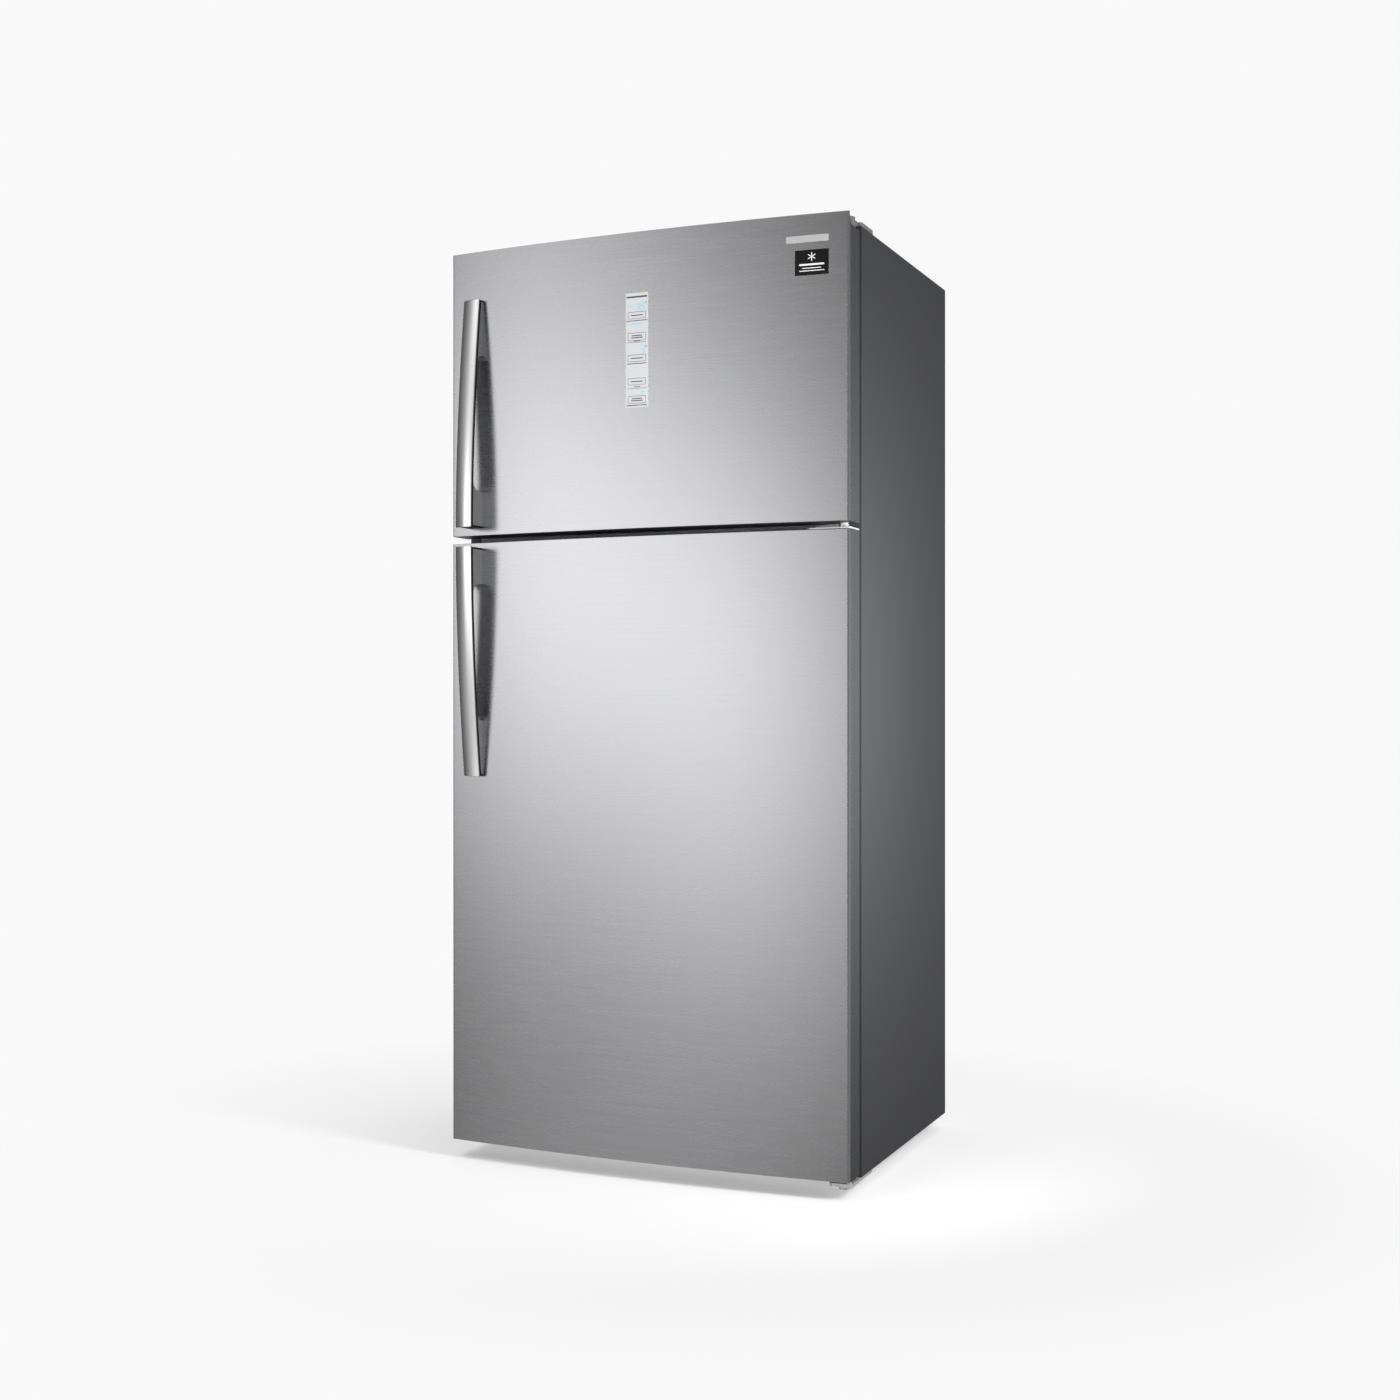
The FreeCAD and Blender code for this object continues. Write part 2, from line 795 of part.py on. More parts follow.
def crown_outline(owner, half, rear, edge, crown, offset=0):
    """Plan outline of a door: flat back and sides, and a front that bows forward."""
    corners = [(-half, rear), (-half, edge), (half, edge), (half, rear)]
    return outline(owner, "XY_Plane", corners, {1: crown}, offset)


def crown_solid(name, half, rear, edge, bottom, top):
    """A door-shaped block."""
    owner = body(name)
    sketch = crown_outline(owner, as_size(half), rear, edge, dim("door_crown"), bottom)
    pad(owner, sketch, as_size(top) - bottom)
    return owner


def make_door_skin(door, bottom, top):
    """Bowed stainless sheet with a short return down each side."""
    owner = body(door + "_skin_sheet")
    rear = door_edge + dim("skin_return")
    inner = half_width - sheet_steel
    inner_edge = door_edge + sheet_steel
    corners = [
        (-half_width, rear),
        (-half_width, door_edge),
        (half_width, door_edge),
        (half_width, rear),
        (inner, rear),
        (inner, inner_edge),
        (-inner, inner_edge),
        (-inner, rear),
    ]
    bulges = {1: dim("door_crown"), 5: -dim("door_crown")}
    pad(owner, outline(owner, "XY_Plane", corners, bulges, bottom), top - bottom)
    publish(door + "_door_skin", owner)


def make_door_frame(door, bottom, top, lip_top=None):
    """Grey sides and end caps round the door, with a bush for the hinge pin in each cap.

    lip_top is how high the top cap's front edge rises, if it rises at all.
    """
    cap = dim("door_cap")
    inner = half_width - sheet_steel
    inner_edge = door_edge + sheet_steel
    step = door_edge + dim("skin_return")
    pieces = []
    for name, level in (("bottom_cap", bottom), ("top_cap", top - cap)):
        pieces.append(crown_solid(f"{door}_{name}_front", inner, step, inner_edge, level, level + cap))
        low = (-half_width, step, level)
        pieces.append(block(f"{door}_{name}_rear", low, (half_width, door_back, level + cap)))
    wall = dim("door_frame_wall")
    low = (-half_width, step, bottom)
    pieces.append(block(door + "_left_wall", low, (-half_width + wall, door_back, top)))
    low = (half_width - wall, step, bottom)
    pieces.append(block(door + "_right_wall", low, (half_width, door_back, top)))
    if lip_top is not None:
        backing = dim("lip_backing")
        lip = crown_solid(door + "_lip_front", inner, step, inner_edge, top - cap, lip_top)
        behind = crown_solid(
            door + "_lip_behind", inner + 1, step + 1, inner_edge + backing, top - cap - 1, lip_top + 1
        )
        pieces.append(cut(door + "_lip", lip, behind))
    solid = fuse(door + "_frame_solid", *pieces)
    bore = rod(door + "_bush_bore", (hinge_x, hinge_y, bottom - 1), "z", top - bottom + 2, pin_bore)
    publish(door + "_door_frame", cut(door + "_frame", solid, bore))


def make_door_insulation(door, bottom, top):
    """Foam core of the door, with a pocket for each hinge pin."""
    cap = dim("door_cap")
    half = half_width - dim("door_frame_wall")
    low = bottom + cap
    high = top - cap
    core = crown_solid(door + "_core", half, door_back - 2, door_edge + sheet_steel + 0.3, low, high)
    depth = 16
    lower = rod(door + "_lower_pocket", (hinge_x, hinge_y, low - 1), "z", depth + 1, 8)
    upper = rod(door + "_upper_pocket", (hinge_x, hinge_y, high - depth), "z", depth + 1, 8)
    publish(door + "_door_insulation", cut(door + "_core_bored", core, lower, upper))


def make_door_liner(door, bottom, top, floor, ceiling):
    """White inner panel with the raised dykes that hold the bins."""
    cap = dim("door_cap")
    sheet_half = half_width - dim("door_frame_wall")
    pieces = [
        block(
            door + "_liner_sheet",
            (-sheet_half, door_back - 2, bottom + cap),
            (sheet_half, door_back, top - cap),
        )
    ]
    outer = dim("dyke_outer")
    width = dim("dyke_width")
    low = floor + 25
    high = ceiling - 25
    rear = door_back + dim("dyke_depth")
    shallow = door_back + 34
    pieces += [
        block(door + "_dyke_left", (-outer, door_back - 1, low), (-outer + width, rear, high)),
        block(door + "_dyke_right", (outer - width, door_back - 1, low), (outer, rear, high)),
        block(door + "_dyke_low", (-outer, door_back - 1, low), (outer, shallow, low + width)),
        block(door + "_dyke_high", (-outer, door_back - 1, high - width), (outer, shallow, high)),
    ]
    publish(door + "_door_liner", fuse(door + "_liner_whole", *pieces))


def make_door_gasket(door, bottom, top):
    """Soft magnetic seal round the back of the door."""
    width = dim("gasket_width")
    outer = half_width - dim("gasket_edge")
    rear = door_back + dim("gasket_depth")
    inner = outer - width
    ring = frame(
        door + "_gasket",
        (-outer, door_back, bottom),
        (outer, rear, top),
        (-inner, bottom + width),
        (inner, top - width),
    )
    publish(door + "_door_gasket", ring)


def make_door_bins(door, levels):
    """Clear bins between the dykes, each a level and a height."""
    half = dim("dyke_outer") - dim("dyke_width") - 1
    bins = []
    for level, height in levels:
        low = (-half, door_back + 1, level)
        high = (half, bin_back, level + height)
        bins.append(tub(f"{door}_bin_{level}", low, high, dim("bin_wall"), 18))
    publish(door + "_door_bins", group(door + "_bins", *bins))


def make_handle(door, thick_end, thin_end, bottom, top):
    """Bar handle that stands well off the door at one end and sweeps back to it at the other."""
    upright = thin_end.number > thick_end.number
    sign = 1 if upright else -1
    drop = dim("handle_drop")
    face = dim("handle_face")
    front_thick = handle_front
    front_thin = handle_front + drop
    bulge = drop / 4
    left = -dim("handle_left")

    def swept(name, corners, bulges):
        """A side outline, turned over for a handle whose thick end is at the top."""
        count = len(corners)
        if not upright:
            corners = corners[::-1]
            bulges = {(count - 2 - side) % count: amount for side, amount in bulges.items()}
        return slab(name, "YZ_Plane", corners, left, dim("handle_width"), bulges)

    # corners run anticlockwise seen from +X, where +Y is to the right and the thick end is below
    strip = [
        (front_thick, thick_end),
        (front_thick + face, thick_end),
        (front_thin + face, thin_end),
        (front_thin, thin_end),
    ]
    publish(door + "_handle_grip", swept(door + "_grip", strip, {1: -bulge, 3: bulge}))

    seat = door_edge - 1
    solid = [
        (front_thick + face, thick_end),
        (seat, thick_end),
        (seat, thin_end),
        (front_thin + face, thin_end),
    ]
    arm = swept(door + "_arm", solid, {3: bulge})
    wide = 31
    near = handle_front + 17
    start = thick_end + (dim("handle_bridge") + wide / 2) * sign
    tip = thick_end + (dim("handle_bridge") + dim("handle_opening")) * sign
    drop_shape = [
        (near, start),
        (near + wide, start),
        (near + wide - 3, tip),
        (near + wide - 8, tip),
    ]
    opening = swept(door + "_grip_opening", drop_shape, {0: wide * 0.48})
    door_face = crown_solid(door + "_handle_seat", half_width, door_back, door_edge, bottom, top)
    publish(door + "_handle_body", cut(door + "_handle", arm, opening, door_face))


def applique(name, low, high, thickness):
    """A thin sheet that follows the bowed front of the freezer door."""
    (left, bottom), (right, top) = low, high
    low = freezer_door_bottom
    high = freezer_door_top
    proud = crown_solid(name + "_proud", half_width, door_edge + 1, door_edge - thickness, low, high)
    face = crown_solid(name + "_face", half_width + 1, door_edge + 2, door_edge, low - 1, high + 1)
    window = block(name + "_window", (left, handle_front, bottom), (right, door_edge + 3, top))
    publish(name, cut(name + "_cut", common(name + "_piece", proud, window), face))


def make_freezer_door():
    """Upper door."""
    bottom = freezer_door_bottom
    make_door_skin("freezer", bottom, freezer_door_top)
    make_door_frame("freezer", bottom, freezer_body_top, freezer_door_top)
    make_door_insulation("freezer", bottom, freezer_body_top)
    make_door_liner("freezer", bottom, freezer_body_top, freezer_floor, freezer_ceiling)
    make_door_gasket("freezer", bottom + 8, freezer_ceiling + 26)
    make_door_bins("freezer", ((1345, 100), (1560, 100)))
    thick_end = bottom + dim("handle_end_gap")
    make_handle("freezer", thick_end, thick_end + dim("handle_length"), bottom, freezer_door_top)
    applique("control_panel", (-23.5, 1506), (23.5, 1729), 0.6)
    applique("nameplate", (299, 1795), (380, 1808), 1.2)
    applique("door_label", (316, 1733), (380, 1780.5), 0.4)


def make_fridge_door():
    """Lower door."""
    bottom = fridge_door_bottom
    top = fridge_door_top
    make_door_skin("fridge", bottom, top)
    make_door_frame("fridge", bottom, top)
    make_door_insulation("fridge", bottom, top)
    make_door_liner("fridge", bottom, top, fridge_floor, fridge_ceiling)
    make_door_gasket("fridge", fridge_floor - 26, top - 8)
    make_door_bins("fridge", ((150, 130), (430, 95), (680, 95), (930, 95)))
    thick_end = top - dim("handle_end_gap") + 4
    make_handle("fridge", thick_end, thick_end - dim("handle_length"), bottom, top)


# ---------------------------------------------------------------- shelves and drawers


RIM = 10
FRAME_HEIGHT = 12


def make_shelf(name, level, front, rear):
    """A glass pane in a plastic rim; returns the pane and the rim."""
    half = dim("shelf_half_width")
    bottom = as_size(level)
    seat = bottom + 6
    rim = block(name + "_rim_solid", (-half, front, bottom), (half, rear, bottom + FRAME_HEIGHT))
    low = (-half + RIM * 2, as_size(front) + RIM * 2, bottom - 1)
    through = block(name + "_through", low, (half - RIM * 2, as_size(rear) - RIM * 2, bottom + 20))
    low = (-half + RIM, as_size(front) + RIM, seat)
    rebate = block(name + "_rebate", low, (half - RIM, as_size(rear) - RIM, bottom + 20))
    high = (half - RIM, as_size(rear) - RIM, seat + dim("shelf_glass"))
    pane = block(name + "_pane", low, high)
    return pane, cut(name + "_rim", rim, through, rebate)


def make_shelves():
    """The freezer shelf, three fresh food shelves and the crisper's cover."""
    front = dim("shelf_front")
    rear = dim("shelf_back")
    freezer_pane, freezer_rim = make_shelf("freezer_shelf", FREEZER_SHELF_HEIGHT, -120, 245)
    publish("freezer_shelf_glass", freezer_pane)
    panes = []
    rims = [freezer_rim]
    for level in FRIDGE_SHELF_HEIGHTS:
        pane, rim = make_shelf(f"fridge_shelf_{level}", level, front, rear)
        panes.append(pane)
        rims.append(rim)
    publish("fridge_shelf_glass", group("fridge_panes", *panes))
    publish("shelf_frames", group("shelf_rims", *rims))
    half = dim("shelf_half_width")
    top = as_size(CRISPER_COVER_HEIGHT) + 9
    cover = block("crisper_lid", (-half, -110, CRISPER_COVER_HEIGHT), (half, rear, top))
    publish("crisper_cover", cover)


def make_drawer(name, low, high):
    """An open drawer with a thicker front that has a finger scoop along its top."""
    left, front, bottom = (as_size(edge) for edge in low)
    right, rear, top = (as_size(edge) for edge in high)
    box = tub(name + "_tub", (left, front + 8, bottom), high, dim("drawer_wall"), 16)
    face = slotted_plate(name + "_face", (left, front), (right, front + 9), 4, bottom, top - bottom)
    width = 110
    scoop = block(name + "_scoop", (-width, front - 1, top - 22), (width, front + 5, top - 10))
    publish(name, cut(name + "_whole", fuse(name + "_solid", box, face), scoop))


def make_drawers():
    """Crisper on the floor, chiller above its cover, and the ice bin in the freezer."""
    front = dim("drawer_front")
    make_drawer("crisper_drawer", (-350, front, fridge_floor + 3), (350, hump_front - 8, 303))
    make_drawer("chiller_drawer", (-345, front, CHILLER_BOTTOM), (345, 285, 445))
    left = dim("tray_axis_x") - 73
    right = dim("tray_axis_x") + 73
    low = (left, -60, freezer_floor + 2)
    publish("ice_bin", tub("ice_tub", low, (right, 212, 1402), dim("drawer_wall"), 12))


TRAY_PIN = 4
TRAY_FRONT = -48
TRAY_REAR = 206


def make_ice_maker():
    """A frame under the freezer shelf and a tray that twists in it about its long axis."""
    middle = dim("tray_axis_x")
    axis = dim("tray_axis_height")
    half = as_size(76)
    wall = 4
    front = TRAY_FRONT - 8
    rear = TRAY_REAR + 8
    top = FREEZER_SHELF_HEIGHT
    outside = block("ice_frame_outside", (middle - half, front, 1412), (middle + half, rear, top))
    low = (middle - half + wall, front + wall, 1400)
    inside = block("ice_frame_inside", low, (middle + half - wall, rear - wall, top + 10))
    bore = as_size(TRAY_PIN) + dim("running_gap")
    pivot = rod("ice_frame_bore", (middle, front - 1, axis), "y", rear - front + 2, bore)
    publish("ice_maker_frame", cut("ice_frame", outside, inside, pivot))

    half_tray = as_size(47)
    depth = 26
    tray = block(
        "tray_solid",
        (middle - half_tray, TRAY_FRONT, axis - depth / 2),
        (middle + half_tray, TRAY_REAR, axis + depth / 2),
    )
    cells = []
    rows = 6
    pitch = (TRAY_REAR - TRAY_FRONT) / rows
    for row in range(rows):
        for side, start in (("left", -44), ("right", 2)):
            low = (middle + start, TRAY_FRONT + pitch * row + 2, axis - depth / 2 + 3)
            high = (middle + start + 42, TRAY_FRONT + pitch * (row + 1) - 2, axis + depth)
            cells.append(block(f"cell_{side}_{row}", low, high))
    cups = cut("tray_cups", tray, *cells)
    front_pin = rod("tray_front_pin", (middle, front - 8, axis), "y", TRAY_FRONT - front + 9, TRAY_PIN)
    rear_pin = rod("tray_rear_pin", (middle, TRAY_REAR - 1, axis), "y", 8, TRAY_PIN)
    knob = rod("tray_knob", (middle, front - 16, axis), "y", 14, 13)
    publish("ice_tray", fuse("tray", cups, front_pin, rear_pin, knob))


# ---------------------------------------------------------------- air ducts and lamps


def make_duct_covers():
    """White panels at the back of each space with the slots the cold air passes through."""
    rear = inner_back - dim("evaporator_zone")
    half = inner_half - 3
    low = freezer_floor + 4
    high = freezer_ceiling - 4
    panel = block("freezer_panel", (-half, rear - 3, low), (half, rear, high))
    slots = []
    for column in (-300, -170, 70, 200):
        for row in range(4):
            start = (column, rear - 5, 1690 + 15 * row)
            end = (column + 100, rear + 5, 1697 + 15 * row)
            slots.append(block(f"outlet_{column}_{row}", start, end))
    for column in (-280, 40):
        start = (column, rear - 5, freezer_floor + 14)
        end = (column + 240, rear + 5, freezer_floor + 30)
        slots.append(block(f"return_{column}", start, end))
    publish("freezer_duct_cover", cut("freezer_panel_slotted", panel, *slots))

    front = inner_back - 25
    wide = 105
    bottom = 500
    top = fridge_ceiling - 12
    outside = block("fridge_duct_outside", (-wide, front, bottom), (wide, inner_back, top))
    wall = 3
    inside = block(
        "fridge_duct_inside",
        (-wide + wall, front + wall, bottom + wall),
        (wide - wall, inner_back + 1, top - wall),
    )
    vents = []
    for level in (620, 870, 1120):
        for row in range(3):
            low = level + 14 * row
            vents.append(block(f"vent_{level}_{row}", (-70, front - 1, low), (70, front + 5, low + 6)))
    publish("fridge_duct_cover", cut("fridge_duct", outside, inside, *vents))


def make_lamp_covers():
    """Light diffusers in both ceilings."""
    lamps = []
    for name, ceiling in (("freezer", freezer_ceiling), ("fridge", fridge_ceiling)):
        owner = body(name + "_lamp")
        thick = 8
        low = (as_size(-70), as_size(-150))
        high = (as_size(70), as_size(-105))
        pad(owner, rounded_rectangle(owner, low, high, 10, ceiling - thick), thick)
        lamps.append(owner)
    publish("lamp_covers", group("lamps", *lamps))


# ---------------------------------------------------------------- cooling machinery


def make_fan(name, centre, axis, radius, depth):
    """A fan: five pitched blades round a hub that turns on the motor's shaft."""
    hub_radius = 15
    bore = 2.5
    hub = rod(name + "_hub", (0, 0, 0), "z", depth, hub_radius)
    blades = []
    for number in range(5):
        blade = doc.addObject("Part::Box", f"{name}_blade_{number}")
        bind(blade, "Length", as_size(radius) - hub_radius + 3)
        blade.Width = 24
        blade.Height = 1.6
        spin = Rotation(Vector(0, 0, 1), 72 * number)
        pitch = Rotation(Vector(1, 0, 0), 28)
        start = spin.multVec(Vector(hub_radius - 3, -10.5, depth / 2 - 6))
        blade.Placement = Placement(start, spin * pitch)
        blades.append(blade)
    hole = rod(name + "_bore", (0, 0, -1), "z", depth + 2, as_size(bore) + dim("running_gap"))
    wheel = cut(name + "_wheel", fuse(name + "_solid", hub, *blades), hole)
    wheel.Placement = Placement(Vector(), TURNS[axis])
    place(wheel, centre)
    publish(name, wheel)


def make_fan_shroud(name, centre, axis, radius, depth, side):
    """A square plate with a round opening, and behind it the motor on two struts."""
    half = side / 2
    plate = block(name + "_plate", (-half, -half, -3), (half, half, depth + 3))
    opening = rod(name + "_opening", (0, 0, -4), "z", depth + 8, as_size(radius) + 4)
    motor = rod(name + "_motor", (0, 0, depth + 3), "z", 22, 18)
    shaft = rod(name + "_shaft", (0, 0, 2), "z", depth + 4, 2.5)
    across = block(name + "_strut_a", (-half, -4, depth + 3), (half, 4, depth + 7))
    upright = block(name + "_strut_b", (-4, -half, depth + 3), (4, half, depth + 7))
    ring = cut(name + "_ring", plate, opening)
    whole = fuse(name + "_whole", ring, motor, shaft, across, upright)
    whole.Placement = Placement(Vector(), TURNS[axis])
    place(whole, centre)
    publish(name, whole)


def make_fans():
    """The evaporator's fan behind the freezer panel and the condenser's fan in the machine bay."""
    centre = (0, inner_back - dim("evaporator_zone") + 6, 1625)
    make_fan("evaporator_fan", centre, "y", 50, 20)
    make_fan_shroud("evaporator_fan_shroud", centre, "y", 50, 20, 120)
    centre = (40, (bay_front + back) / 2, 128)
    make_fan("condenser_fan", centre, "x", 58, 22)
    make_fan_shroud("condenser_fan_shroud", centre, "x", 58, 22, 140)


def zigzag(left, right, rows, pitch, start_level, depth):
    """Corner points of a tube that runs to and fro across the cabinet."""
    points = [Vector(left, depth, start_level)]
    for row in range(rows):
        level = start_level + pitch * row
        end = right if row % 2 == 0 else left
        points.append(Vector(end, depth, level))
        if row < rows - 1:
            points.append(Vector(end, depth, level + pitch))
    return points


def make_evaporator():
    """Finned coil and its defrost heater, between the freezer panel and the liner."""
    radius = dim("tube_radius").number
    depth = (inner_back - 30).number
    pitch = 28
    tube = tube_shape(zigzag(-250, 250, 7, pitch, 1370, depth), radius, 0.45 * pitch)
    fins = [Part.makeBox(1, 44, 188, Vector(-225 + 25 * n - 0.5, depth - 22, 1362)) for n in range(19)]
    publish("evaporator_coil", made("evaporator", tube.multiFuse(fins)))
    heater = tube_shape(zigzag(-240, 240, 2, 18, 1322, depth), 4, 8)
    publish("defrost_heater", made("heater", heater))


def make_condenser():
    """Tube coil beside the fan, over the pan that takes the defrost water."""
    radius = dim("tube_radius").number
    layers = []
    for number in range(3):
        depth = bay_front.number + 45 + 50 * number
        points = zigzag(-385, -60, 5, 26, 82, depth)
        layers.append(tube_shape(points, radius, 11))
    supports = []
    for edge in (-330, -120):
        plate = Part.makeBox(2, 124, 126, Vector(edge, bay_front.number + 33, 73))
        supports.append(plate)
    whole = layers[0].multiFuse(layers[1:] + supports)
    publish("condenser_coil", made("condenser", whole))
    low = (-400, bay_front + 10, base_top)
    publish("drain_pan", tub("pan", low, (-50, back - 12, 64), 2, 12))


COMPRESSOR_X = 230
COMPRESSOR_BOTTOM = 46
COMPRESSOR_TOP = 150


def make_compressor():
    """Welded steel can on four rubber feet."""
    owner = body("can")
    radius = dim("compressor_radius")
    top = COMPRESSOR_TOP
    corners = [
        (0, 8),
        (radius - 18, 8),
        (radius, 30),
        (radius, top - 40),
        (radius - 26, top - 9),
        (30, top),
        (0, top),
    ]
    revolve(owner, outline(owner, "XZ_Plane", corners, {1: 5, 3: 8}))
    middle = (bay_front + back) / 2
    place(owner, (COMPRESSOR_X, middle, COMPRESSOR_BOTTOM))
    half = 78
    low = (COMPRESSOR_X - half, middle - 66, COMPRESSOR_BOTTOM)
    plate = block("can_plate", low, (COMPRESSOR_X + half, middle + 66, COMPRESSOR_BOTTOM + 8))
    box = block(
        "can_terminal",
        (COMPRESSOR_X + 60, middle - 30, COMPRESSOR_BOTTOM + 50),
        (COMPRESSOR_X + 95, middle + 30, COMPRESSOR_BOTTOM + 115),
    )
    publish("compressor", fuse("compressor_whole", owner, plate, box))
    feet = []
    for number, (across, along) in enumerate(((-1, -1), (1, -1), (1, 1), (-1, 1))):
        start = (COMPRESSOR_X + 64 * across, middle + 52 * along, base_top)
        feet.append(rod(f"grommet_{number}", start, "z", COMPRESSOR_BOTTOM - base_top, 12))
    publish("compressor_grommets", group("grommets", *feet))


def make_refrigerant_pipes():
    """Discharge line from the compressor to the coil, and the suction line up into the back."""
    middle = ((bay_front + back) / 2).number
    dome = COMPRESSOR_BOTTOM + COMPRESSOR_TOP
    discharge = [
        Vector(COMPRESSOR_X - 20, middle - 14, dome),
        Vector(COMPRESSOR_X - 20, middle - 14, 212),
        Vector(COMPRESSOR_X - 110, middle - 75, 212),
        Vector(-40, middle - 75, 212),
        Vector(-40, middle - 50, 190),
        Vector(-58, middle - 50, 190),
    ]
    suction = [
        Vector(COMPRESSOR_X + 18, middle + 14, dome),
        Vector(COMPRESSOR_X + 18, middle + 14, 208),
        Vector(COMPRESSOR_X + 18, middle + 70, 208),
        Vector(COMPRESSOR_X + 18, middle + 70, bay_top.number - 2),
    ]
    lines = [tube_shape(discharge, 3, 7), tube_shape(suction, 4, 9)]
    publish("refrigerant_pipes", made("pipes", Part.makeCompound(lines)))


# ---------------------------------------------------------------- whole refrigerator

make_cabinet_shell()
make_cabinet_insulation()
make_freezer_liner()
make_fridge_liner()
make_back_panel()
make_mullion_rail()
make_base_plate()
make_machine_cover()
make_cord_inlet()
make_leveling_feet()
make_roller_brackets()
make_rollers()
make_top_hinge_bracket()
make_top_hinge_cover()
make_middle_hinge_bracket()
make_bottom_hinge_bracket()
make_hinge_screws()
make_freezer_door()
make_fridge_door()
make_shelves()
make_drawers()
make_ice_maker()
make_duct_covers()
make_lamp_covers()
make_fans()
make_evaporator()
make_condenser()
make_compressor()
make_refrigerant_pipes()

doc.recompute()

for thing in doc.Objects:
    if "Invalid" in thing.State or "Error" in thing.State:
        raise RuntimeError(f"{thing.Name} ({thing.Label}) did not compute: {thing.State}")
for node in nodes:
    if node.Shape.isNull() or not node.Shape.isValid() or not node.Shape.Solids:
        raise RuntimeError(f"{node.Label} has no valid solid")

os.makedirs("parts", exist_ok=True)
for node in nodes:
    node.Shape.exportStep(f"parts/{node.Label}.step")
print(len(nodes), "nodes")
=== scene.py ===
"""Top freezer refrigerator: the looks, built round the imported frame. Everything is in metres."""
import json
import math

import bmesh
import bpy
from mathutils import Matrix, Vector

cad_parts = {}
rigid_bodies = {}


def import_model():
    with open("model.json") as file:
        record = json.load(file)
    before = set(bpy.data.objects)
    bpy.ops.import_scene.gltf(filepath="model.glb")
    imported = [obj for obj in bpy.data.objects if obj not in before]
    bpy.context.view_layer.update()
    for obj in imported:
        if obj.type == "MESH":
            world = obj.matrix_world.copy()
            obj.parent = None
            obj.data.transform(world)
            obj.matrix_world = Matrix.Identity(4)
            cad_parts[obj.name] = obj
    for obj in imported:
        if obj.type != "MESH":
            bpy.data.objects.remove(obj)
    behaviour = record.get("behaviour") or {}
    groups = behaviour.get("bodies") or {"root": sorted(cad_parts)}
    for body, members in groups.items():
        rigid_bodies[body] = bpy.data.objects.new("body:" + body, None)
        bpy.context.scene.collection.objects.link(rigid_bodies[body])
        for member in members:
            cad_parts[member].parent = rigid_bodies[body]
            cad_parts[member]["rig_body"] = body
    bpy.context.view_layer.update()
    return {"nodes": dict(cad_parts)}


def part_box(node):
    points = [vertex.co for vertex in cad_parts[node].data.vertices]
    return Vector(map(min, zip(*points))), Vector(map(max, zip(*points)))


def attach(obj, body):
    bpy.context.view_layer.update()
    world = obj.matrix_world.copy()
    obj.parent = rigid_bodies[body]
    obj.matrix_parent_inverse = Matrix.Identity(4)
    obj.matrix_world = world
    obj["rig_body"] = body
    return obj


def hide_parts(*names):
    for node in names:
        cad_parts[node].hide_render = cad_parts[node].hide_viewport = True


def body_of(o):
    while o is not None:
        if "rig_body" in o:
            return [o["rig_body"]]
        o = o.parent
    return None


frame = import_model()
scene = bpy.context.scene

MM = 0.001


# ---------------------------------------------------------------- camera

CAMERA_PLACE = (1.467, -3.845, 0.937)
CAMERA_TURN = 26.25
LENS = 49.96
SHIFT = 0.1286


def make_camera():
    """Level camera to the right of the front, with its frame shifted to where the photo has the object."""
    data = bpy.data.cameras.new("camera")
    data.lens = LENS
    data.sensor_width = 36
    data.shift_x = SHIFT
    data.clip_end = 60
    camera = bpy.data.objects.new("camera", data)
    camera.location = CAMERA_PLACE
    camera.rotation_euler = (math.pi / 2, 0, math.radians(CAMERA_TURN))
    scene.collection.objects.link(camera)
    scene.camera = camera


# ---------------------------------------------------------------- shader arithmetic


class Term:
    """A number inside a node tree, so that a formula can be written as one."""

    def __init__(self, tree, socket):
        self.tree = tree
        self.socket = socket

    def math(self, operation, *others):
        node = self.tree.nodes.new("ShaderNodeMath")
        node.operation = operation
        for slot, value in zip(node.inputs, (self, *others)):
            plug(self.tree, value, slot)
        return Term(self.tree, node.outputs[0])

    def __add__(self, other):
        return self.math("ADD", other)

    def __sub__(self, other):
        return self.math("SUBTRACT", other)

    def __mul__(self, other):
        return self.math("MULTIPLY", other)

    def __truediv__(self, other):
        return self.math("DIVIDE", other)

    def clamped(self, low, high):
        return self.math("MAXIMUM", low).math("MINIMUM", high)


def plug(tree, value, slot):
    """Sets a socket from a number or links it to a term."""
    if isinstance(value, Term):
        tree.links.new(value.socket, slot)
    else:
        slot.default_value = value


# ---------------------------------------------------------------- studio

BACKGROUND = 0.947
AMBIENT = 0.1
OVERHEAD = 1.25
UNDERFOOT = 0.7

# Soft patches of light. Azimuth runs in degrees from -Y towards -X, elevation from the horizon.
# Each row: strength, azimuth, its width, elevation, width above it, width below it, lift per degree.
PATCHES = (
    (2.5, 15, 13.3, 2.7, 5, 8.7, 0.15),
    (2.15, 34, 10, 4.6, 8.1, 8.1, 0),
    (0.85, 29, 14, 27, 8, 8, 0),
    (0.75, 29, 15, -20, 4.5, 4.5, 0),
    (0.4, -45, 25, 5, 20, 35, 0),
    (0.6, 115, 20, 5, 30, 30, 0),
    (0.9, 148, 20, 2, 18, 35, 0),
    (0.5, 200, 8, 0, 9, 9, 0),
    (0.6, 238, 18, 4, 16, 35, 0),
)


def bell(square):
    """The bell curve of a squared distance."""
    return square.math("MULTIPLY", -1).math("EXPONENT")


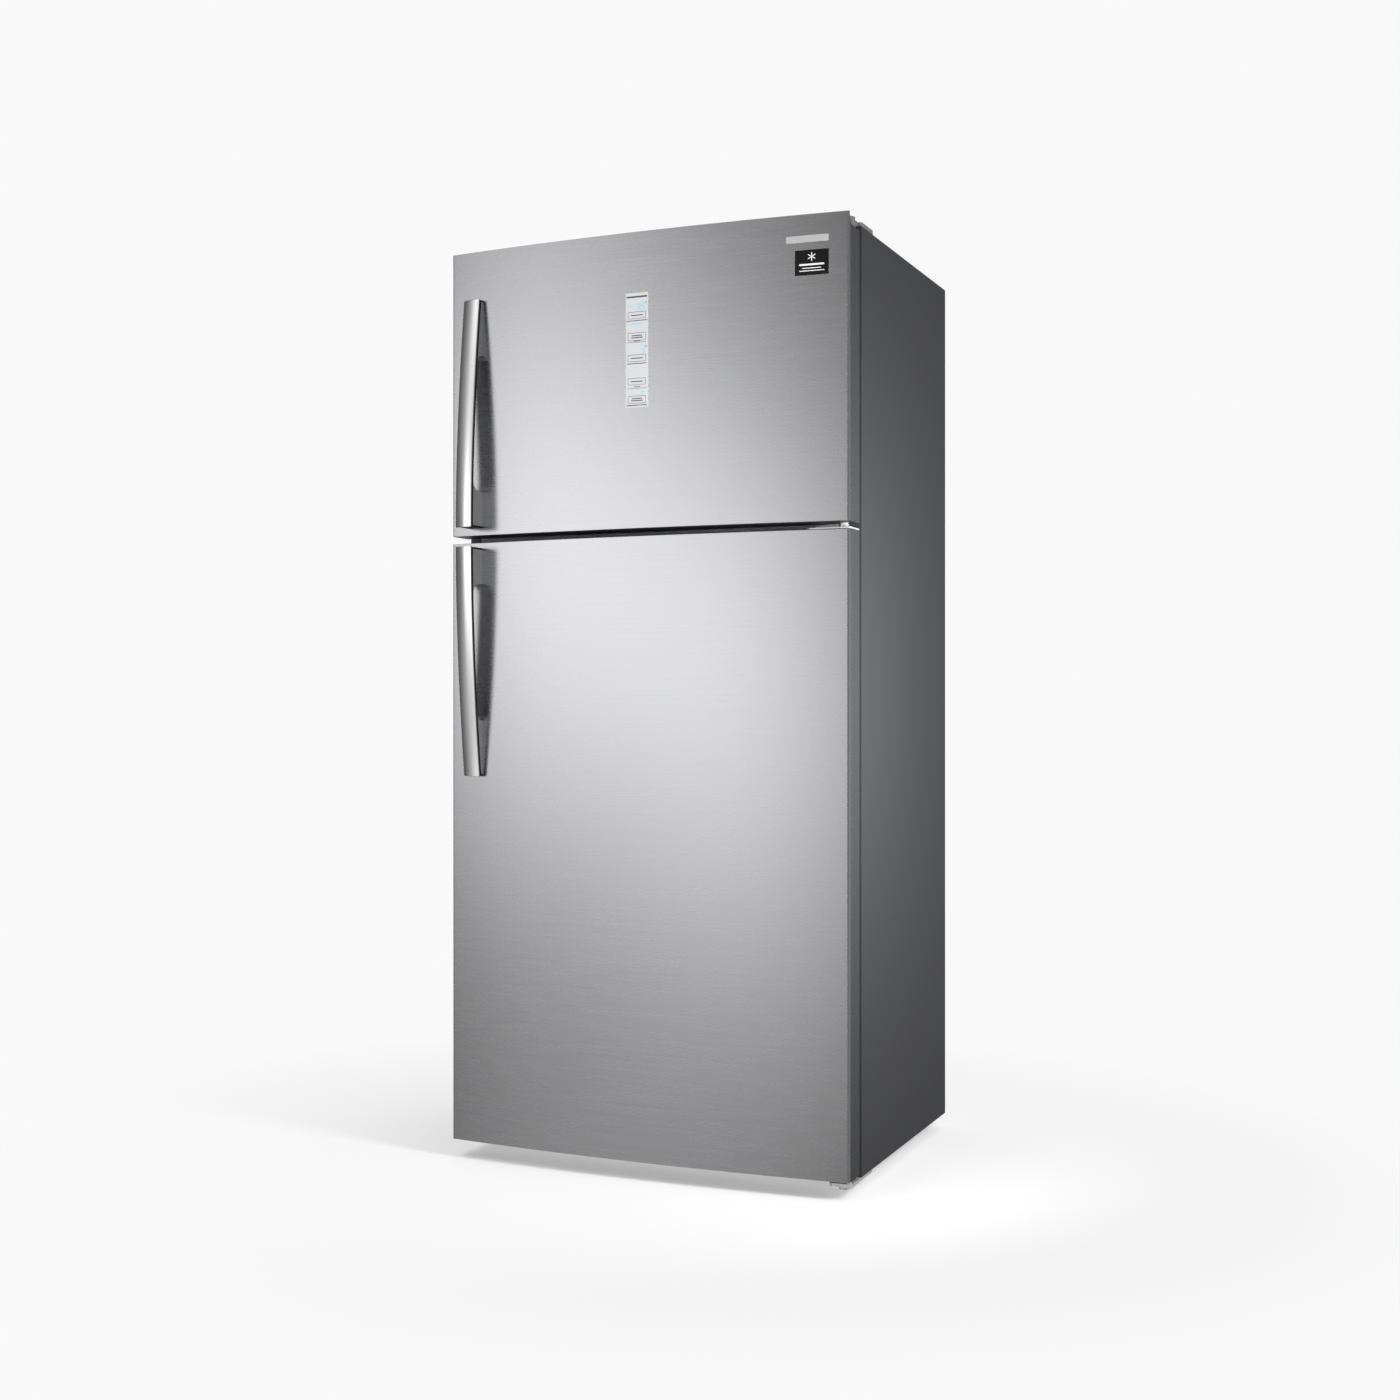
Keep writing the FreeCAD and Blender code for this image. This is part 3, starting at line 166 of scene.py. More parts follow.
def make_world():
    """Plain white for the camera, and a softly graded studio for everything that reflects it."""
    world = bpy.data.worlds.new("studio")
    world.use_nodes = True
    scene.world = world
    tree = world.node_tree
    tree.nodes.clear()
    direction = tree.nodes.new("ShaderNodeTexCoord")
    parts = tree.nodes.new("ShaderNodeSeparateXYZ")
    tree.links.new(direction.outputs["Generated"], parts.inputs[0])
    x, y, z = (Term(tree, output) for output in parts.outputs)
    to_degrees = 180 / math.pi
    azimuth = (x * -1).math("ARCTAN2", y * -1) * to_degrees
    elevation = z.math("ARCSINE") * to_degrees

    # The ceiling brightens from 32 degrees up, over 35; the ground from 35 degrees down, over 25.
    overhead = ((elevation - 32) / 35).clamped(0, 1)
    underfoot = ((elevation + 35) / -25).clamped(0, 1)
    light = overhead * OVERHEAD + underfoot * UNDERFOOT + AMBIENT
    for strength, middle, width, height, above, below, slant in PATCHES:
        turn = (azimuth - middle + 180).math("FLOORED_MODULO", 360) - 180
        across = turn / width
        rise = elevation - height - turn * slant
        up = rise.math("MAXIMUM", 0) / above
        down = rise.math("MINIMUM", 0) / below
        light = light + bell(across * across + up * up + down * down) * strength

    studio = tree.nodes.new("ShaderNodeBackground")
    tree.links.new(light.socket, studio.inputs["Strength"])
    plain = tree.nodes.new("ShaderNodeBackground")
    plain.inputs["Strength"].default_value = BACKGROUND
    plain.inputs["Color"].default_value = (1, 1, 1, 1)
    ray = tree.nodes.new("ShaderNodeLightPath")
    mix = tree.nodes.new("ShaderNodeMixShader")
    tree.links.new(ray.outputs["Is Camera Ray"], mix.inputs[0])
    tree.links.new(studio.outputs[0], mix.inputs[1])
    tree.links.new(plain.outputs[0], mix.inputs[2])
    output = tree.nodes.new("ShaderNodeOutputWorld")
    tree.links.new(mix.outputs[0], output.inputs["Surface"])


def make_floor():
    """Pale floor that fades into the background away from the object."""
    size = 20
    fade_from = 0.5
    fade_over = 1.6
    least = 0.4
    mesh = bpy.data.meshes.new("floor")
    corners = [(-size, -size, 0), (size, -size, 0), (size, size, 0), (-size, size, 0)]
    mesh.from_pydata(corners, [], [(0, 1, 2, 3)])
    floor = bpy.data.objects.new("floor", mesh)
    scene.collection.objects.link(floor)
    floor.visible_glossy = False

    material = bpy.data.materials.new("floor")
    material.use_nodes = True
    tree = material.node_tree
    tree.nodes.clear()
    place = tree.nodes.new("ShaderNodeTexCoord")
    radius = tree.nodes.new("ShaderNodeVectorMath")
    radius.operation = "LENGTH"
    tree.links.new(place.outputs["Object"], radius.inputs[0])
    far = (Term(tree, radius.outputs["Value"]) - fade_from) / fade_over
    far = (far + least).clamped(least, 1)
    near = tree.nodes.new("ShaderNodeBsdfDiffuse")
    near.inputs["Color"].default_value = (0.93, 0.93, 0.93, 1)
    away = tree.nodes.new("ShaderNodeEmission")
    away.inputs["Strength"].default_value = BACKGROUND
    mix = tree.nodes.new("ShaderNodeMixShader")
    tree.links.new(far.socket, mix.inputs[0])
    tree.links.new(near.outputs[0], mix.inputs[1])
    tree.links.new(away.outputs[0], mix.inputs[2])
    output = tree.nodes.new("ShaderNodeOutputMaterial")
    tree.links.new(mix.outputs[0], output.inputs["Surface"])
    mesh.materials.append(material)


def add_box_light(name, place, aim, size, power, spread=180):
    """A soft box that lights surfaces without showing up in them."""
    data = bpy.data.lights.new(name, "AREA")
    data.shape = "RECTANGLE"
    data.size, data.size_y = size
    data.energy = power
    data.spread = math.radians(spread)
    light = bpy.data.objects.new(name, data)
    light.location = place
    light.rotation_euler = (Vector(aim) - Vector(place)).to_track_quat("-Z", "Y").to_euler()
    light.visible_glossy = False
    light.visible_camera = False
    scene.collection.objects.link(light)
    return light


def make_lights():
    """Large soft boxes above the front and the back, and a small one beside the painted side."""
    add_box_light("front_box", (-1.2, -2.6, 3.6), (0, 0, 0.9), (2.4, 2.4), 60)
    add_box_light("back_box", (0.8, 3.2, 3.2), (0, 0, 0.9), (2.4, 2.4), 40)
    add_box_light("side_box", (1.3, -0.7, 0.98), (0.4, -0.2, 0.98), (0.4, 0.5), 19, 120)


def light_strips(strips):
    """A soft box that only the chromed strips mirror, faded at its sides and dimmed half way up."""
    fade_width = 0.3
    dim_height = 0.09
    dim_by = 0.5
    light = add_box_light("strip_box", (-1.01, -1.99, 1.3), (-0.36, -0.39, 1.3), (5, 3.4), 25)
    light.visible_glossy = True
    light.visible_diffuse = False
    chrome_only = bpy.data.collections.new("chrome_only")
    for strip in strips:
        chrome_only.objects.link(strip)
    light.light_linking.receiver_collection = chrome_only
    data = light.data
    data.use_nodes = True
    tree = data.node_tree
    place = tree.nodes.new("ShaderNodeNewGeometry")
    parts = tree.nodes.new("ShaderNodeSeparateXYZ")
    tree.links.new(place.outputs["Parametric"], parts.inputs[0])
    across, along = (Term(tree, output) for output in parts.outputs[:2])
    across = (across - 0.5) / fade_width
    along = (along - 0.5) / dim_height
    dim = bell(along * along) * -dim_by + 1
    fade = bell(across * across) * dim
    tree.links.new(fade.socket, tree.nodes["Emission"].inputs["Strength"])


# ---------------------------------------------------------------- materials


def shades(name, color, roughness, metallic=0.0, *, grain, tint, rough, stretch=(1, 1, 1),
           bump=0.0, depth=0.0002, detail=4.0, **sockets):
    """A material whose colour, roughness and relief vary with a noise pattern.

    grain is how many spots there are to the metre, stretch how each axis scales it; tint and rough
    say how far colour and roughness stray, bump how strong the relief is, and depth how deep.
    Other keywords set the shader's own sockets.
    """
    material = bpy.data.materials.new(name)
    material.use_nodes = True
    tree = material.node_tree
    shader = tree.nodes["Principled BSDF"]
    shader.inputs["Metallic"].default_value = metallic
    for socket, value in sockets.items():
        shader.inputs[socket.replace("_", " ")].default_value = value
    place = tree.nodes.new("ShaderNodeTexCoord")
    scaled = tree.nodes.new("ShaderNodeMapping")
    scaled.inputs["Scale"].default_value = stretch
    tree.links.new(place.outputs["Object"], scaled.inputs["Vector"])
    noise = tree.nodes.new("ShaderNodeTexNoise")
    noise.inputs["Scale"].default_value = grain
    noise.inputs["Detail"].default_value = detail
    tree.links.new(scaled.outputs[0], noise.inputs["Vector"])
    pattern = Term(tree, noise.outputs["Fac"])

    ramp = tree.nodes.new("ShaderNodeValToRGB")
    for stop, shift in ((0, -tint), (1, tint)):
        ramp.color_ramp.elements[stop].position = 0.25 + 0.5 * stop
        ramp.color_ramp.elements[stop].color = (*[min(1, max(0, c * (1 + shift))) for c in color], 1)
    tree.links.new(pattern.socket, ramp.inputs[0])
    tree.links.new(ramp.outputs[0], shader.inputs["Base Color"])
    level = (pattern - 0.5) * (2 * rough) + roughness
    tree.links.new(level.math("MAXIMUM", 0.02).socket, shader.inputs["Roughness"])
    if bump:
        relief = tree.nodes.new("ShaderNodeBump")
        relief.inputs["Strength"].default_value = bump
        relief.inputs["Distance"].default_value = depth
        tree.links.new(pattern.socket, relief.inputs["Height"])
        tree.links.new(relief.outputs[0], shader.inputs["Normal"])
    return material


# Stretches the grain into brush marks along an axis.
ALONG_X = (0.007, 1, 1)
ALONG_Z = (1, 1, 0.004)

STEEL = shades("brushed_steel", (0.64, 0.64, 0.655), 0.27, 1.0, grain=240, stretch=ALONG_X, tint=0.027,
               rough=0.02, detail=5.0)
PAINT = shades("grey_paint", (0.035, 0.036, 0.04), 0.42, grain=900, tint=0.05, rough=0.04, bump=0.05,
               depth=0.0001)
RAIL = shades("rail_paint", (0.42, 0.42, 0.43), 0.4, grain=900, tint=0.03, rough=0.04, bump=0.05,
              depth=0.0001)
EDGE = shades("door_edge", (0.037, 0.038, 0.04), 0.46, grain=1600, tint=0.06, rough=0.05, bump=0.06,
              depth=0.0001)
FOAM = shades("foam", (0.72, 0.6, 0.34), 0.9, grain=500, tint=0.12, rough=0.05, bump=0.3, depth=0.0004)
LINER = shades("white_liner", (0.83, 0.84, 0.85), 0.24, grain=220, tint=0.012, rough=0.04, bump=0.03,
               depth=0.0002)
SEAL = shades("grey_seal", (0.2, 0.2, 0.205), 0.62, grain=1200, tint=0.06, rough=0.06, bump=0.08,
              depth=0.0001)
CLEAR = shades("clear_plastic", (0.86, 0.92, 0.95), 0.1, grain=90, tint=0.02, rough=0.04, Alpha=0.34)
ICE = shades("ice_plastic", (0.82, 0.9, 0.96), 0.3, grain=120, tint=0.02, rough=0.05, bump=0.04,
             depth=0.0003, Transmission_Weight=0.55, IOR=1.49)
GLASS = shades("shelf_glass", (0.8, 0.93, 0.9), 0.04, grain=60, tint=0.02, rough=0.02, Alpha=0.3)
CHROME = shades("chrome", (0.83, 0.83, 0.835), 0.17, 1.0, grain=1400, stretch=ALONG_Z, tint=0.012, rough=0.03)
SATIN = shades("satin_metal", (0.38, 0.385, 0.4), 0.36, 0.8, grain=1500, stretch=ALONG_Z, tint=0.05,
               rough=0.06, bump=0.04, depth=0.00005)
TRIM = shades("black_trim", (0.005, 0.005, 0.005), 0.5, grain=1200, tint=0.1, rough=0.05,
              Specular_IOR_Level=0.25)
FILM = shades("panel_film", (0.56, 0.565, 0.58), 0.3, grain=700, tint=0.01, rough=0.03)
PRINT = shades("panel_print", (0.06, 0.06, 0.065), 0.5, grain=900, tint=0.05, rough=0.04)
DISPLAY = shades("display_light", (0.15, 0.56, 0.66), 0.4, grain=900, tint=0.05, rough=0.04,
                 Emission_Color=(0.15, 0.6, 0.7, 1), Emission_Strength=0.12)
BADGE = shades("badge_metal", (0.62, 0.62, 0.625), 0.26, 0.5, grain=1200, stretch=ALONG_X, tint=0.02,
               rough=0.04)
LABEL = shades("label_black", (0.004, 0.004, 0.004), 0.22, grain=500, tint=0.1, rough=0.03)
LABEL_PRINT = shades("label_print", (0.7, 0.7, 0.7), 0.4, grain=700, tint=0.05, rough=0.04)
ZINC = shades("zinc", (0.8, 0.8, 0.79), 0.32, 0.65, grain=160, tint=0.08, rough=0.1, bump=0.04, depth=0.0001)
GALVANISED = shades("galvanised", (0.5, 0.505, 0.515), 0.42, 0.7, grain=90, tint=0.06, rough=0.08, bump=0.03,
                    depth=0.0001)
GREY = shades("grey_plastic", (0.15, 0.152, 0.157), 0.48, grain=1500, tint=0.04, rough=0.05, bump=0.06,
              depth=0.0001)
BLACK = shades("black_plastic", (0.018, 0.018, 0.019), 0.5, grain=1500, tint=0.1, rough=0.06, bump=0.08,
               depth=0.0001)
LAMP = shades("lamp_diffuser", (0.9, 0.9, 0.87), 0.4, grain=400, tint=0.01, rough=0.04,
              Emission_Color=(1, 0.98, 0.93, 1), Emission_Strength=3.0)
ALUMINIUM = shades("aluminium", (0.72, 0.72, 0.73), 0.38, 1.0, grain=500, tint=0.05, rough=0.08)
COPPER = shades("copper", (0.62, 0.31, 0.19), 0.34, 1.0, grain=300, tint=0.12, rough=0.1)
ENAMEL = shades("black_enamel", (0.012, 0.012, 0.013), 0.32, grain=500, tint=0.1, rough=0.05, bump=0.06,
                depth=0.0002)
RUBBER = shades("rubber", (0.02, 0.02, 0.02), 0.75, grain=900, tint=0.1, rough=0.05, bump=0.1, depth=0.0002)


# ---------------------------------------------------------------- pieces


def piece(name, bm, body, material, nodes=(), sharp=40):
    """Shows a bmesh as a piece that rides on a body and stands for CAD nodes."""
    bmesh.ops.remove_doubles(bm, verts=bm.verts, dist=1e-7)
    bmesh.ops.recalc_face_normals(bm, faces=bm.faces)
    mesh = bpy.data.meshes.new(name)
    bm.to_mesh(mesh)
    bm.free()
    mesh.materials.append(material)
    mesh.shade_smooth()
    mesh.set_sharp_from_angle(angle=math.radians(sharp))
    thing = bpy.data.objects.new(name, mesh)
    scene.collection.objects.link(thing)
    even = thing.modifiers.new("even", "WEIGHTED_NORMAL")
    even.keep_sharp = True
    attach(thing, body)
    if nodes:
        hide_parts(*nodes)
    return thing


def add_rings(bm, rings, closed_path=False, closed_ring=True):
    """Joins rows of points, each with the same count, into one surface, capped if the path is open."""
    rows = [[bm.verts.new(point) for point in ring] for ring in rings]
    count = len(rows[0])
    last = len(rows) if closed_path else len(rows) - 1
    around = count if closed_ring else count - 1
    for number in range(last):
        here = rows[number]
        there = rows[(number + 1) % len(rows)]
        for side in range(around):
            after = (side + 1) % count
            bm.faces.new((here[side], here[after], there[after], there[side]))
    if not closed_path:
        bm.faces.new(rows[0])
        bm.faces.new(rows[-1])
    return rows


def add_block(bm, low, high, radius, segments):
    """A box with round edges."""
    made = bmesh.ops.create_cube(bm, size=1)["verts"]
    low = Vector(low)
    high = Vector(high)
    size = high - low
    for vert in made:
        vert.co = Vector([low[i] + size[i] * (vert.co[i] + 0.5) for i in range(3)])
    edges = list({edge for vert in made for edge in vert.link_edges})
    radius = min(radius, min(size) * 0.49)
    bmesh.ops.bevel(bm, geom=edges, offset=radius, segments=segments, profile=0.5, affect="EDGES")


def add_lathe(bm, profile, middle, axis, steps):
    """A solid of revolution; profile lists (radius, height) pairs from one end of the axis to the other."""
    turn = Vector((0, 0, 1)).rotation_difference(Vector(axis)).to_matrix()
    rings = []
    for step in range(steps):
        angle = 2 * math.pi * step / steps
        ring = [Vector((r * math.cos(angle), r * math.sin(angle), h)) for r, h in profile]
        rings.append([Vector(middle) + turn @ point for point in ring])
    rows = add_rings(bm, rings, closed_path=True, closed_ring=False)
    bm.faces.new([row[0] for row in rows])
    bm.faces.new([row[-1] for row in rows])


def eased(node, radius, material):
    """A copy of a CAD node whose sharp edges are rounded, standing for the node."""
    bm = bmesh.new()
    bm.from_mesh(frame["nodes"][node].data)
    bmesh.ops.remove_doubles(bm, verts=bm.verts, dist=1e-6)
    bmesh.ops.dissolve_limit(bm, angle_limit=math.radians(0.5), verts=bm.verts, edges=bm.edges)
    least_fold = math.radians(35)
    edges = [edge for edge in bm.edges if len(edge.link_faces) == 2 and edge.calc_face_angle() > least_fold]
    bmesh.ops.bevel(bm, geom=edges, offset=radius, segments=2, profile=0.5, affect="EDGES",
                    clamp_overlap=True)
    piece(node + "_eased", bm, body_of(frame["nodes"][node])[0], material, [node])


# ---------------------------------------------------------------- doors

RETURN_DEPTH = 13 * MM
SHEET = 0.8 * MM
BEND = 4 * MM
LIP_RISE = 23 * MM

# Both fronts bow to one circle in plan, which runs through their side edges.
skin_low, skin_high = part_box("freezer_door_skin")
HALF = skin_high.x
FRONT = skin_low.y
EDGE_Y = skin_high.y - RETURN_DEPTH
BOW = EDGE_Y - FRONT
CROWN_RADIUS = (HALF**2 + BOW**2) / (2 * BOW)
CROWN_MIDDLE = FRONT + CROWN_RADIUS


def on_crown(x, z, lift=0.0):
    """The point on the doors' bowed front at x and z, raised outwards by lift."""
    angle = math.asin(x / CROWN_RADIUS)
    radius = CROWN_RADIUS + lift
    return Vector((radius * math.sin(angle), CROWN_MIDDLE - radius * math.cos(angle), z))


def skin_path(inset, rear):
    """Plan of the bent sheet from the left return, across the bow, to the right return."""
    bend = BEND - inset
    side = HALF - BEND
    reach = CROWN_RADIUS - BEND
    sweep = math.asin(side / reach)
    bend_y = CROWN_MIDDLE - reach * math.cos(sweep)
    right = [(HALF - inset, rear)]
    steps = 8
    for step in range(steps + 1):
        angle = -step / steps * (math.pi / 2 - sweep)
        right.append((side + bend * math.cos(angle), bend_y + bend * math.sin(angle)))
    steps = 32
    for step in range(steps - 1, -1, -1):
        angle = sweep * step / steps
        radius = CROWN_RADIUS - inset
        right.append((radius * math.sin(angle), CROWN_MIDDLE - radius * math.cos(angle)))
    return [(-x, y) for x, y in right[:-1]] + right[::-1]


def make_skin(door):
    """Bowed steel front of a door, folded round both sides, with rolled ends.

    The freezer door's front stands up past the door as a lip, and its folds slope down behind that.
    """
    low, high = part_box(door + "_door_skin")
    steps = 4
    roll = []
    for step in range(steps + 1):
        angle = math.pi / 2 * step / steps
        roll.append((SHEET * (1 - math.sin(angle)), SHEET * (1 - math.cos(angle))))
    profile = [(inset, low.z + rise) for inset, rise in roll]
    profile += [(inset, high.z - rise) for inset, rise in roll[::-1]]
    paths = {inset: skin_path(inset, high.y) for inset, _ in profile}
    notch = LIP_RISE if door == "freezer" else 0
    notch_from = EDGE_Y + 2 * MM
    notch_steepness = 1.6
    rings = []
    for number in range(len(paths[SHEET])):
        ring = []
        for inset, z in profile:
            x, y = paths[inset][number]
            share = max(0.0, (y - notch_from) / (high.y - notch_from))
            drop = notch * min(1, share * notch_steepness) if z > (low.z + high.z) / 2 else 0
            ring.append((x, y, z - drop))
        rings.append(ring)
    bm = bmesh.new()
    add_rings(bm, rings)
    piece(door + "_front", bm, door + "_door", STEEL, [door + "_door_skin"], sharp=50)


# The seal's cross-section in millimetres, as (in from its outer edge, back from the door).
SEAL_SECTION = (
    (1, 0), (17, 0), (17, 1.5), (13.5, 2.5), (15.5, 4), (13, 5.5), (15.5, 7), (15, 8),
    (16.5, 8.3), (17.2, 9.2), (17.2, 11.8), (16.4, 12.6), (2, 12.6), (0.8, 11.8), (0.8, 9.2),
    (2, 8.3), (3.5, 8), (2.5, 7), (5, 5.5), (2.5, 4), (4.5, 2.5), (1, 1.5),
)


def make_gasket(door):
    """Magnetic seal with a folded bellows, mitred at its corners."""
    low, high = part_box(door + "_door_gasket")
    rings = []
    for x, z, across, along in (
        (low.x, low.z, 1, 1), (high.x, low.z, -1, 1), (high.x, high.z, -1, -1), (low.x, high.z, 1, -1),
    ):
        rings.append([(x + across * u * MM, low.y + d * MM, z + along * u * MM) for u, d in SEAL_SECTION])
    bm = bmesh.new()
    add_rings(bm, rings, closed_path=True)
    piece(door + "_seal", bm, door + "_door", SEAL, [door + "_door_gasket"], sharp=30)


# ---------------------------------------------------------------- handles

# The power by which the handle falls back towards its thin end.
HANDLE_SWEEP = 1.8
# How thick the chromed strip is, and how far behind its face the black backing ends.
STRIP = 3 * MM
STANDOFF_BACK = 12 * MM
# How far the backing stops short of the handle's ends, and how thick its end caps are.
BACKING_MARGIN = 0.8 * MM
BACKING_CAP = 3.2 * MM

# How the strip tapers at each end: distance from the end, and share of the full cross-section.
STRIP_END = ((0, 0.93), (0.3 * MM, 0.965), (1 * MM, 0.99), (2.2 * MM, 1))

# The satin feet: where each ends, measured from the handle's thick end, then how deep and how long the
# rounded hollow at its end is. The first foot starts at the thick end, the second at the thin end.
THICK_FOOT = (95 * MM, 24 * MM, 20 * MM)
THIN_FOOT = (334 * MM, 13 * MM, 15 * MM)


class Handle:
    """One door handle, by the distance along it from its thick end."""

    def __init__(self, door):
        self.door = door
        low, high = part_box(door + "_handle_grip")
        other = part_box("fridge_handle_grip" if door == "freezer" else "freezer_handle_grip")
        self.length = high.z - low.z
        self.up = 1 if low.z > other[0].z else -1
        self.thick_end = low.z if self.up > 0 else high.z
        self.middle = (low.x + high.x) / 2
        self.half = (high.x - low.x) / 2
        self.front = low.y
        self.drop = high.y - STRIP - low.y

    def height(self, along):
        return self.thick_end + self.up * along

    def face(self, along):
        """How far back the front of the handle lies, as a Y value."""
        share = min(1, max(0, along / self.length))
        return self.front + self.drop * share**HANDLE_SWEEP

    def point(self, along, across, deep):
        """A point from a distance along, a distance from the middle line and a depth behind the face."""
        slope = self.drop * HANDLE_SWEEP / self.length * (max(0, along) / self.length) ** (HANDLE_SWEEP - 1)
        lean = math.atan(slope)
        back = Vector((0, math.cos(lean), -math.sin(lean) * self.up))
        start = Vector((self.middle + across, self.face(along), self.height(along)))
        return start + back * deep


def strip_section(half):
    """Cross-section of the chromed face: bowed, and rolled over at its left edge."""
    right_tilt = math.radians(5)
    left_tilt = math.radians(-27)
    roll = 2.2 * MM
    nose = 0.7 * MM
    right = half - nose
    left = -half + roll * (1 + math.sin(left_tilt))
    radius = (right + nose * math.sin(right_tilt) - left) / (math.sin(right_tilt) - math.sin(left_tilt))
    points = []
    middle = (right, nose)
    for step in range(5):
        tilt = math.radians(90) + (right_tilt - math.radians(90)) * step / 4
        points.append((middle[0] + nose * math.sin(tilt), middle[1] - nose * math.cos(tilt)))
    start = points[-1]
    middle = (start[0] - radius * math.sin(right_tilt), start[1] + radius * math.cos(right_tilt))
    for step in range(1, 15):
        tilt = right_tilt + (left_tilt - right_tilt) * step / 14
        points.append((middle[0] + radius * math.sin(tilt), middle[1] - radius * math.cos(tilt)))
    end = points[-1]
    middle = (end[0] - roll * math.sin(left_tilt), end[1] + roll * math.cos(left_tilt))
    for step in range(1, 6):
        tilt = left_tilt + (math.radians(-90) - left_tilt) * step / 5
        points.append((middle[0] + roll * math.sin(tilt), middle[1] - roll * math.cos(tilt)))
    left_back = points[-1][1] + 1.2 * MM
    return points + [(-half, left_back), (-half + 2 * MM, left_back + 0.3 * MM), (half, STRIP)]


def shrink(section, share):
    """A cross-section pulled in towards its middle, for a rounded end."""
    x = sum(point[0] for point in section) / len(section)
    y = sum(point[1] for point in section) / len(section)
    return [(x + (a - x) * share, y + (b - y) * share) for a, b in section]


def sweep_handle(handle, section, stations):
    """A mesh of one cross-section, given as (across, deep) pairs, swept along a handle.

    stations lists (along, share) pairs, where share is the cross-section's size there.
    """
    rings = []
    for along, share in stations:
        rings.append([handle.point(along, across, deep) for across, deep in shrink(section, share)])
    bm = bmesh.new()
    add_rings(bm, rings)
    return bm


def make_handle(door):
    """Chromed strip, black backing and satin feet of one handle."""
    handle = Handle(door)
    length = handle.length
    half = handle.half
    body = door + "_door"
    steps = 48
    taper = STRIP_END[-1][0]
    stations = list(STRIP_END)
    stations += [(taper + (length - 2 * taper) * step / steps, 1) for step in range(1, steps)]
    stations += [(length - along, share) for along, share in STRIP_END[::-1]]
    section = strip_section(half)
    bm = sweep_handle(handle, section, stations)
    strip = piece(door + "_handle_strip", bm, body, CHROME, [door + "_handle_grip"])

    inner = half - 0.6 * MM
    hem = section[-2][1] + 0.1 * MM
    chamfer = 1.2 * MM
    backing = [
        (inner, STRIP + 0.05 * MM), (inner, STANDOFF_BACK - chamfer), (inner - chamfer, STANDOFF_BACK),
        (2 * MM - half * 0.66, STANDOFF_BACK + chamfer), (-half + 3 * MM, hem + 1.8 * MM),
        (-half + 2.2 * MM, hem + 0.4 * MM),
    ]
    stations = [length * step / steps for step in range(steps + 1)]
    stations = [(min(max(along, BACKING_MARGIN), length - BACKING_MARGIN), 1) for along in stations]
    bm = sweep_handle(handle, backing, stations)
    for along in (BACKING_MARGIN, length - BACKING_MARGIN - BACKING_CAP):
        near = handle.face(along) + STANDOFF_BACK - 2 * MM
        ends = sorted((handle.height(along), handle.height(along + BACKING_CAP)))
        far = on_crown(handle.middle + inner, 0).y + 0.5 * MM
        low = (handle.middle - inner + 4 * MM, near, ends[0])
        add_block(bm, low, (handle.middle + inner, far, ends[1]), 0.5 * MM, 2)
    piece(door + "_handle_backing", bm, body, TRIM)

    make_handle_feet(handle)
    return strip


def make_handle_feet(handle):
    """The two satin feet that carry the bar, with hollows towards each other, and the spine between them."""
    half = handle.half - 0.9 * MM
    length = handle.length
    inset = BACKING_CAP + BACKING_MARGIN
    left = -0.55 * half
    right = 0.9 * half
    spine = [
        (left, 0.4), (left, 1.7), (left + 1 * MM, 2),
        (right - 1 * MM, 1), (right, 0.8), (right, -0.2),
    ]
    spine = [(across, STANDOFF_BACK + deep * MM) for across, deep in spine]
    steps = 40
    stations = [(inset + (length - 2 * inset) * step / steps, 1) for step in range(steps + 1)]
    bm = sweep_handle(handle, spine, stations)

    seat = on_crown(handle.middle + handle.half, 0).y + 1.5 * MM
    rim = 1 * MM
    rounding = 0.7 * MM
    for start, (end, reach, run) in ((inset, THICK_FOOT), (length - inset, THIN_FOOT)):
        way = 1 if end > start else -1
        outline = []
        steps = 16
        for step in range(steps + 1):
            along = start + (end - start) * step / steps
            outline.append((along, handle.face(along) + STANDOFF_BACK - 1 * MM))
        top = outline[-1][1]
        steps = 10
        for step in range(1, steps + 1):
            angle = math.pi / 2 * step / steps
            outline.append((end - way * run * math.sin(angle), top + reach * (1 - math.cos(angle))))
        outline.append((outline[-1][0] - way * 1.5 * MM, seat))
        outline.append((start, seat))
        middle = sum((Vector(point) for point in outline), Vector((0, 0))) / len(outline)
        rows = []
        for across, pull in ((-half, rounding), (rim - half, 0), (half - rim, 0), (half, rounding)):
            pulled = [Vector(point) + (middle - Vector(point)).normalized() * pull for point in outline]
            rows.append([(handle.middle + across, y, handle.height(along)) for along, y in pulled])
        add_rings(bm, rows)
    name = handle.door + "_handle_feet"
    piece(name, bm, handle.door + "_door", SATIN, [handle.door + "_handle_body"])


# ---------------------------------------------------------------- panel, plate and label


def rounded_outline(low, high, radius, steps=6):
    """Points round a rectangle with round corners, in x and z."""
    points = []
    for x, z, first in (
        (high[0] - radius, high[1] - radius, 0), (low[0] + radius, high[1] - radius, 90),
        (low[0] + radius, low[1] + radius, 180), (high[0] - radius, low[1] + radius, 270),
    ):
        for step in range(steps + 1):
            angle = math.radians(first + 90 * step / steps)
            points.append((x + radius * math.cos(angle), z + radius * math.sin(angle)))
    return points


